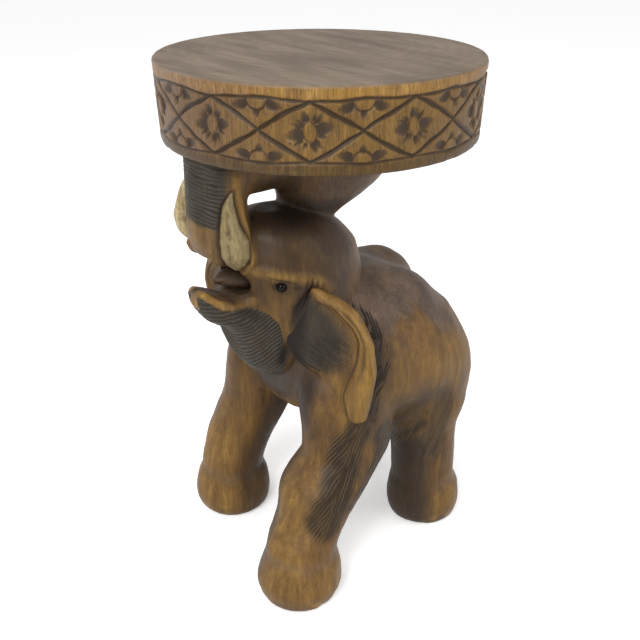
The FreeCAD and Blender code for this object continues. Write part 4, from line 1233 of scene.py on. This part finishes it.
def flower(across, up, lozenge):
    """Depth of a flower round an upright oval boss, at places across and up from its middle.

    Each lozenge turns its flower by a lean and its petals by small angles, all sines of its number.
    """
    lean = 0.22 * np.sin(7.1 * lozenge + 1.0)
    size = 1 + 0.08 * np.sin(3.7 * lozenge)
    across, up = across / size, up / size
    across, up = across * np.cos(lean) + up * np.sin(lean), up * np.cos(lean) - across * np.sin(lean)
    boss = np.sqrt((across / BOSS_HALVES[0]) ** 2 + (up / BOSS_HALVES[1]) ** 2)
    sides = 0.5 + 0.5 * np.abs(across / BOSS_HALVES[0]) / np.maximum(boss, 0.1)
    depth = 1.7 * valley((boss - 1.12) * 5, 1.1) * sides
    for number, (bearing, start, length, half_wide, deep) in enumerate(PETALS):
        turn = np.radians(bearing + 7 * np.sin(5.0 * lozenge + 2.3 * number))
        away = start + 0.5 * np.sin(3.0 * lozenge + number)
        along = across * np.cos(turn) + up * np.sin(turn) - away
        beside = up * np.cos(turn) - across * np.sin(turn)
        depth = np.maximum(depth, deep * chip(along, beside, length, half_wide))
    return depth


def half_flower(side, rise, nearest, hand_shift):
    """Depth of a half boss with two leaves and a notch, at places beside and off the line it grows from."""
    ring = np.sqrt((side / HALF_BOSS_HALVES[0]) ** 2 + (rise / HALF_BOSS_HALVES[1]) ** 2)
    under = ease(-1.5, 0.5, rise)
    crescent = 0.55 + 0.45 * np.abs(np.sin(1.7 * nearest + hand_shift + np.sign(side)))
    depth = 2.1 * valley((ring - 1.13) * 7.6, 1.3) * under * crescent
    for hand in (1, -1):
        along = hand * side - 7.6
        beside = rise - 4.6 - 0.12 * along
        depth = np.maximum(depth, 2.3 * chip(along, beside, 12.0, 4.2) * under)
    notch = chip(rise - 8.6, side - 0.6 * np.sin(4 * nearest + hand_shift), 6.5, 2.9)
    return np.maximum(depth, 2.0 * notch)


def rim_carving(angle, height):
    """Depth of the rim's carving at each angle (degrees) and height over the underside.

    A chain of lozenges between two lines round the rim; a flower in each lozenge, and a half flower in
    each triangle between them. The place counts crossings round the rim, and tip is 0 at a crossing and
    1 at a lozenge's middle. Lines wander by small sines of the place.
    """
    angle = (angle - CROSSINGS[0]) % 360 + CROSSINGS[0]
    place = np.interp(angle, CROSSINGS, np.arange(len(CROSSINGS)))
    part = place - np.floor(place)
    gaps = np.diff(CROSSINGS)
    lozenge = np.minimum(np.floor(place).astype(int), len(gaps) - 1)
    arc = np.radians(gaps[lozenge]) * UNDER_RADIUS
    tip = 1 - np.abs(2 * part - 1)
    wave = 0.4 * np.sin(5.3 * place) + 0.3 * np.sin(13.7 * place)
    upper_line = UPPER_LINE - 2.4 * tip + wave
    lower_line = LOWER_LINE + 2.2 * tip - 0.6 * wave
    middle = MID_RIM + 0.8 * np.sin(2.9 * np.round(place))
    wander = 2.4 * np.sin(9 * place + height / 9) * tip * (1 - tip)
    rise = tip ** 0.94
    upper_side = middle + (upper_line - middle) * rise + wander
    lower_side = middle - (middle - lower_line) * rise - wander
    side_width = 2.2 * (0.8 + 0.45 * np.sin(np.pi * tip) + 0.15 * np.sin(31 * place))
    line_width = 1.5 + 0.8 * (1 - tip) ** 1.5 + 0.25 * np.sin(23 * place)
    depth = 2.5 * valley(0.87 * (height - upper_side), side_width)
    depth = np.maximum(depth, 2.5 * valley(0.87 * (height - lower_side), side_width))
    depth = np.maximum(depth, 2.1 * valley(height - upper_line, line_width))
    depth = np.maximum(depth, 1.9 * valley(height - lower_line, line_width * 0.85))
    depth = np.maximum(depth, flower((part - 0.5) * arc, height - middle, lozenge))
    nearest = np.round(place)
    side = (place - nearest) * arc
    depth = np.maximum(depth, half_flower(side, upper_line - height, nearest, 0.0))
    return np.maximum(depth, half_flower(side, height - lower_line, nearest, 2.0))


def seat_profile(rim_rows):
    """Rows (radius, height over the underside) from the underside's middle over the rim to the top's."""
    bend = np.linspace(0, math.pi / 2, 4)
    drop = [(EDGE_ROUND * (1 - math.sin(t)), EDGE_ROUND * (1 - math.cos(t))) for t in bend]
    under = [(radius, 0) for radius in UNDER_RINGS] + [(UNDER_RADIUS - inward, up) for inward, up in drop]
    heights = np.linspace(EDGE_ROUND, SEAT_THICKNESS - EDGE_ROUND, rim_rows)[1:-1]
    slope = (TOP_RADIUS - UNDER_RADIUS) / SEAT_THICKNESS
    rim = [(UNDER_RADIUS + slope * height, height) for height in heights]
    over = [(TOP_RADIUS - down, SEAT_THICKNESS - inward) for inward, down in drop]
    over += [(radius, SEAT_THICKNESS) for radius in TOP_RINGS]
    return np.array(under + rim + over)


def seat_piece():
    """The slab as a grid of rings: underside, rim, top; radius and height follow the profile.

    On the rim the radius is that of the cone between the two edges, less the carving and a knife-cut
    unevenness; the two edges are rounded, and the top sags a little.
    """
    columns = int(SEAT_COLUMNS / COARSE)
    profile = seat_profile(int(RIM_ROWS / COARSE))
    rows = len(profile)
    radius, height = (np.repeat(column[:, None], columns, axis=1) for column in profile.T)
    turn = np.repeat(np.linspace(0, 360, columns, endpoint=False)[None, :], rows, axis=0)
    around = np.radians(turn)
    places = np.stack([radius * np.cos(around), radius * np.sin(around), height], axis=-1).reshape(-1, 3)

    def drift(size, seed, stretch=(1, 1, 1)):
        """Smooth noise over the slab, drawn out along the axes whose stretch is under 1."""
        return value_noise(places * stretch, size, seed).reshape(radius.shape)

    on_rim = ease(0, 4, height) * ease(SEAT_THICKNESS, SEAT_THICKNESS - 3, height)
    depth = rim_carving(turn, height) * on_rim
    uneven = drift(9.0, 31, (1, 1, 0.45))
    chips = np.clip(drift(7.0, 32) - 0.35, 0, 1)
    edge = bell(height - SEAT_THICKNESS, 6) + bell(height, 5)
    side = ease(110, 136, radius)
    radius = radius - side * (0.3 + 0.28 * uneven + 1.2 * chips * edge) - depth
    sag = 0.35 * (1 + drift(45.0, 33)) * np.isclose(height, SEAT_THICKNESS)
    level = height - sag + SEAT_UNDERSIDE
    points = np.stack([radius * np.cos(around), radius * np.sin(around), level], axis=-1).reshape(-1, 3)

    rose, pale_rose = ((turn + 180 - bearing) % 360 - 180 for bearing in ROSE_BEARINGS)

    worn_edge = height + 0.36 * drift(12.0, 34)
    looks = {
        "top": ease(SEAT_THICKNESS - 2.6, SEAT_THICKNESS - 0.4, worn_edge),
        "cut": ease(0.1, 1.7, depth),
        # level: painted shade, darker towards the rim's lower edge
        "level": 0.34 + 0.29 * ease(7, 12, height) + 0.37 * ease(54, 60, height),
        "pink": 0.85 * bell(rose, 60) + 0.4 * bell(pale_rose, 50),
    }
    looks = {key: values.ravel() for key, values in looks.items()}
    faces = tube_faces(rows, columns)
    add_piece("seat_slab", "seat", points, faces, seat_wood(), looks, end_rings(rows, columns))


# Ears

# (rise over the neck's base, middle along the blade, off its plane, half length, half thickness)
EAR = [
    (-28, 57.5, 15, 5, 2.8), (-26, 57.5, 15, 9, 4.5), (-20, 56.3, 14, 12, 6.2), (-8, 53, 11.5, 17.5, 8),
    (6, 49.5, 9.5, 23, 9), (22, 37, 6, 36, 10), (38, 32, 4, 38.5, 10), (54, 31, 2, 33, 9),
    (68, 30.5, 1, 25, 7.5), (77, 26.5, 0, 17, 6), (88, 18, 0, 3, 2.5),
]
NECK_BASE = 194.0
EAR_ROOT = (44.0, -66.0)
# Each ear's side, its turn to the rear in degrees, and the share of the rings' offset
EAR_SIDES = {"left_ear": (1, 38.0, 1.0), "right_ear": (-1, 3.0, -1.6)}
# Inner border of the rolled rim and, lower down, the lobe's fold: (rise, along the blade)
RIM_BORDER = [
    (-30, 54), (-18, 49.4), (-4, 47), (4, 48.6), (17, 53.5), (29, 57), (42, 58), (54, 53.5), (65, 44),
    (74, 33), (79, 20), (86, 12),
]
EAR_HATCH_SLANT = math.atan2(28, 40.7)
EAR_ROWS, EAR_COLUMNS = 230, 300


def ear_looks(along, rise, face, inward, share, second, count, width):
    """Looks of a blade: golden rolled rim and lobe, grey burnt dish with dark hatching, and painted shade
    at the root, where the blade meets the head.
    """
    dark = ease(0, 24, inward) ** 0.8 * ease(-2, 20, rise - 0.18 * along)
    rolled = (0.45 + 0.5 * ease(0.3, 0.6, share)) * (1 - 0.45 * ease(52, 74, rise))
    gold = face * np.where(inward < 0, rolled, 0.5 * ease(20, 0, rise))
    # Painted shade at the root, where the blade meets the head, and on the back face near it
    root = ease(18, 4, along) * 0.9 + 0.6 * (1 - face) * ease(40, 24, along) * ease(18, 4, -along)
    lobe = 0.2 * ease(16, -6, rise)
    dish = face * dark * (0.26 + 0.3 * bell(along - 34, 26) * bell(rise - 40, 30))
    looks = {
        "gold": np.clip(gold + 0.3 * (1 - face) * ease(20, 40, along), 0, 1),
        "grey": face * dark * 0.95,
        "umber": np.zeros(rise.shape),
        "burn_and_shade": np.maximum(np.maximum(root, lobe), dish),
        "cut": np.clip(face * (0.75 * valley(inward, 1.7) + 0.6 * second), 0, 1),
        "hatch": count,
        "hatch_width": width * face,
    }
    return {key: np.broadcast_to(values, rise.shape).ravel() for key, values in looks.items()}


def ear_piece(name):
    """A blade of elliptic rings; its outer face is dished, with a rolled rim and a folded lobe.

    Two parameters: the rise, and the turn round the ring. The carving is a function of the place along
    the blade and the rise, and it fades out round the blade's edge.
    """
    side, turn, lean = EAR_SIDES[name]
    rows, columns = int(EAR_ROWS / COARSE), int(EAR_COLUMNS / COARSE)
    top, tip = EAR[-1][0], EAR[0][0]
    rise = (tip + top) / 2 - (top - tip) / 2 * np.cos(np.linspace(0.02, math.pi - 0.02, rows))
    middle, off, half_long, half_thick = (column[:, None] for column in cubic(EAR, rise).T)
    around = np.linspace(0, 2 * math.pi, columns, endpoint=False)[None, :]
    along = middle + half_long * np.cos(around)
    out = np.sin(around)
    rise = np.repeat(rise[:, None], columns, axis=1)
    border = cubic(RIM_BORDER, rise.ravel())[:, 0].reshape(rise.shape)
    inward = border - along
    on_rim = inward < 0
    share = np.clip((along - border) / np.maximum(middle + half_long - border, 1), 0, 1)
    face = ease(0.05, 0.6, out)
    flat = np.column_stack([along.ravel(), rise.ravel(), np.zeros(rise.size)])
    uneven = 0.5 * value_noise(flat, 11.0, 41) + 0.25 * value_noise(flat, 4.5, 42)
    uneven = uneven.reshape(rise.shape)

    # Hatching runs down towards the rear of the dish
    across = (along * math.sin(EAR_HATCH_SLANT) + rise * math.cos(EAR_HATCH_SLANT) + 0.9 * uneven).ravel()
    run = (along * math.cos(EAR_HATCH_SLANT) - rise * math.sin(EAR_HATCH_SLANT)).ravel()
    count, broken = (values.reshape(rise.shape) for values in cuts(across, run, 2.3, 43))
    width = ease(3, 10, inward) * ease(-2, 16, rise - 0.18 * along) * ease(54, 40, rise) * 0.5 * broken

    # The relief, then the blade set at its root
    dish = 5.0 * ease(0, 9, inward) * ease(-14, 16, rise) + 2.2 * ease(0, 5, inward) * ease(22, 8, rise)
    roll = 2.4 * np.sqrt(np.clip(1 - (2 * share - 1.05) ** 2, 0, 1)) * on_rim
    second = 1.2 * valley(share - 0.42, 0.2) * on_rim * ease(10, 24, rise) * ease(78, 66, rise)
    relief = roll - dish - 1.4 * valley(inward, 2.0) - second - 0.8 * hatch_groove(count, width)
    off_plane = off * lean + half_thick * out * np.where(out > 0, 1, 0.8) + face * relief + 0.6 * uneven
    angle = math.radians(turn) if side > 0 else math.pi - math.radians(turn)
    x = HEAD_MIDDLE + side * EAR_ROOT[0] + math.cos(angle) * along + side * math.sin(angle) * off_plane
    y = EAR_ROOT[1] + math.sin(angle) * along - side * math.cos(angle) * off_plane
    points = np.stack([x, y, rise + NECK_BASE], axis=-1).reshape(-1, 3)
    looks = ear_looks(along, rise, face, inward, share, second, count, width)
    faces = tube_faces(rows, columns)
    add_piece(name + "_blade", name, points, faces, ANIMAL_WOOD, looks, end_rings(rows, columns))


# Tusks

TUSK_ROWS, TUSK_COLUMNS = 150, 96
# Bearing of the worn streak at its middle: (left tusk, right tusk), in degrees
STREAK_BEARINGS = (-48, -132)


def tusk_piece(name):
    """A drop of round rings: two parameters, height and turn, with shallow flutes and a worn streak.

    The streak runs down the outer face, a little before its middle, and breaks up into specks.
    """
    side, table = TUSKS[name]
    low, high = table[0][0], table[-1][0]
    share = (1 - np.cos(np.linspace(0.03, math.pi - 0.03, TUSK_ROWS))) / 2
    height = low + (high - low) * share
    out, back, radius = (column[:, None] for column in cubic(table, height).T)
    turn = np.linspace(0, 2 * math.pi, TUSK_COLUMNS, endpoint=False)[None, :]
    height = np.repeat(height[:, None], TUSK_COLUMNS, axis=1)
    turned = np.repeat(turn, TUSK_ROWS, axis=0)
    flat = np.stack([6 * np.cos(turned), 6 * np.sin(turned), height], axis=-1).reshape(-1, 3)
    flute = value_noise(flat * (1, 1, 0.14), 3.4, 51).reshape(height.shape)
    knife = value_noise(flat, 4.0, 52).reshape(height.shape)
    speckle = value_noise(flat * (1, 1, 0.5), 1.3, 53).reshape(height.shape)
    cut = np.clip(-flute - 0.45, 0, 1)

    def beside(bearing):
        """Distance round the ring from a bearing, as the chord."""
        return 2 * radius * np.sin(0.5 * (turn - bearing))

    along = (height - low) / (high - low)
    aim = math.radians(STREAK_BEARINGS[0] if side > 0 else STREAK_BEARINGS[1])
    swerve = np.radians(34) * side * (along - 0.45) + 0.16 * knife
    streak = bell(beside(aim + swerve), 2.6) * ease(-0.35, 0.35, speckle)
    streak = streak * ease(0.02, 0.2, along) * ease(0.97, 0.85, along)
    low_wear = ease(0.3, 0.02, along) * ease(0.1, 0.5, speckle)
    bump = 1.2 * bell(height - (low + 27), 5) * bell(beside(math.radians(35) * side), 8)
    reach = radius * (1 + 0.02 * knife) - np.minimum(0.8 * cut, 0.2 * radius) - 0.35 * streak + bump
    x = HEAD_MIDDLE + side * out + reach * np.cos(turn)
    y = back + reach * np.sin(turn)
    points = np.stack([x, y, height], axis=-1).reshape(-1, 3)
    looks = {
        "cut": np.clip(2 * cut + 0.8 * streak + 0.6 * low_wear, 0, 1).ravel(),
        # Painted light: the far, right tusk takes the lighter copy of its tone
        "painted_light": np.full(height.size, 0.0 if side > 0 else 1.0),
    }
    faces, rings = tube_faces(TUSK_ROWS, TUSK_COLUMNS), end_rings(TUSK_ROWS, TUSK_COLUMNS)
    add_piece(name + "_drop", name, points, faces, TUSK_WOOD, looks, rings)


# Build the pieces

TUSK_WOOD = tusk_wood()
BODY_BOX = ((-106, -143, -4), (138, 145, 272))
BODY_STEP = 1.9
# Head regions: (piece, low and high corner of its box, step of its net, region)
HEAD_REGIONS = [
    ("jaw_carving", (-48, -142, 172), (60, -22, 300), 0.8, below_mouth),
    ("trunk_carving", (-42, -142, 276), (54, -62, 396), 0.8, before_arch),
    ("skull_carving", (-60, -100, 190), (72, 82, 396), 1.15, skull_side),
]

sculpted("body_carving", "body", "body_wood", body_field, body_looks, *BODY_BOX, BODY_STEP)
for piece, low, high, step, region in HEAD_REGIONS:
    sculpted(piece, "head", "head_wood", head_field, head_looks, low, high, step, region)
seat_piece()
for ear in EAR_SIDES:
    ear_piece(ear)
for tusk in TUSKS:
    tusk_piece(tusk)

plain = {"left_eye": bead(), "neck_dowels": turned_wood()}
plain["right_eye"] = plain["left_eye"]
plain["seat_dowels"] = plain["neck_dowels"]
for node, material in plain.items():
    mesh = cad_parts[node].data
    mesh.materials.clear()
    mesh.materials.append(material)


# Floor, light and camera

SKY_LIGHT = 0.62
FLOOR_GLOW = 0.32
FLOOR_TONE = (0.55, 0.54, 0.52, 1)
WHITE = (1, 1, 1, 1)
TARGET = (0, 0, 0.23)
# Soft boxes: (name, place, what it faces, side length, power)
LIGHTS = [
    ("key_light", (0.9, -1.5, 1.7), TARGET, 1.4, 26),
    ("fill_light", (-1.5, -0.7, 1.1), TARGET, 1.6, 9),
    ("side_light", (1.5, 0.9, 0.9), TARGET, 1.4, 10),
    ("glint_light", (0.72, -0.95, 1.05), (0.05, -0.08, 0.28), 0.14, 3.0),
]
CAMERA_PLACE = (0.6116, -0.4779, 0.5868)
CAMERA_PITCH = 25.85
CAMERA_BEARING = 52.0
# The focal length in pixels of a frame 640 pixels wide
FOCAL_PIXELS = 900.0
FRAME_PIXELS = 640.0
SENSOR = 36.0


def floor():
    """A wide pale floor that keeps the shadow; straight to the camera it is near white."""
    bpy.ops.mesh.primitive_plane_add(size=12, location=(0, 0, -0.0002))
    ground = bpy.context.object
    ground.name = "studio_floor"
    made = bpy.data.materials.new("studio_floor")
    made.use_nodes = True
    tree = made.node_tree
    shader = tree.nodes["Principled BSDF"]
    shader.inputs["Roughness"].default_value = 0.9
    shader.inputs["Specular IOR Level"].default_value = 0.1
    shader.inputs["Emission Color"].default_value = WHITE
    path = tree.nodes.new("ShaderNodeLightPath")
    seen = tree.nodes.new("ShaderNodeMath")
    seen.operation = "MAXIMUM"
    tree.links.new(path.outputs["Is Camera Ray"], seen.inputs[0])
    tree.links.new(path.outputs["Is Glossy Ray"], seen.inputs[1])
    mix = tree.nodes.new("ShaderNodeMix")
    mix.data_type = "RGBA"
    mix.inputs[6].default_value = FLOOR_TONE
    mix.inputs[7].default_value = WHITE
    tree.links.new(seen.outputs[0], mix.inputs[0])
    tree.links.new(mix.outputs[2], shader.inputs["Base Color"])
    glow = tree.nodes.new("ShaderNodeMath")
    glow.operation = "MULTIPLY"
    tree.links.new(seen.outputs[0], glow.inputs[0])
    glow.inputs[1].default_value = FLOOR_GLOW
    tree.links.new(glow.outputs[0], shader.inputs["Emission Strength"])
    ground.data.materials.append(made)


def light_area(name, place, target, size, power):
    """A square soft box that faces the target."""
    lamp = bpy.data.lights.new(name, "AREA")
    lamp.size = size
    lamp.energy = power
    holder = bpy.data.objects.new(name, lamp)
    bpy.context.scene.collection.objects.link(holder)
    holder.location = place
    direction = np.array(target) - np.array(place)
    flat = math.hypot(direction[0], direction[1])
    bearing = math.atan2(direction[1], direction[0]) - math.pi / 2
    holder.rotation_euler = (math.atan2(flat, -direction[2]), 0, bearing)


def sky():
    """Plain white surroundings: full strength for the camera and in reflections, less as a light."""
    world = bpy.data.worlds.new("studio_sky")
    bpy.context.scene.world = world
    world.use_nodes = True
    tree = world.node_tree
    background = tree.nodes["Background"]
    background.inputs["Color"].default_value = WHITE
    path = tree.nodes.new("ShaderNodeLightPath")
    seen = tree.nodes.new("ShaderNodeMath")
    seen.operation = "MAXIMUM"
    tree.links.new(path.outputs["Is Camera Ray"], seen.inputs[0])
    tree.links.new(path.outputs["Is Transmission Ray"], seen.inputs[1])
    strength = tree.nodes.new("ShaderNodeMapRange")
    tree.links.new(seen.outputs[0], strength.inputs["Value"])
    strength.inputs["To Min"].default_value = SKY_LIGHT
    strength.inputs["To Max"].default_value = 1.0
    tree.links.new(strength.outputs[0], background.inputs["Strength"])


floor()
sky()
for light in LIGHTS:
    light_area(*light)

lens = bpy.data.cameras.new("camera")
lens.sensor_width = SENSOR
lens.lens = SENSOR * FOCAL_PIXELS / FRAME_PIXELS
lens.clip_start = 0.01
camera = bpy.data.objects.new("camera", lens)
bpy.context.scene.collection.objects.link(camera)
camera.location = CAMERA_PLACE
camera.rotation_euler = (math.radians(90 - CAMERA_PITCH), 0, math.radians(CAMERA_BEARING))
bpy.context.scene.camera = camera
bpy.context.scene.view_settings.view_transform = "Standard"


def corners(box):
    """A box as plain lists of numbers."""
    return [[float(part) for part in corner] for corner in box]
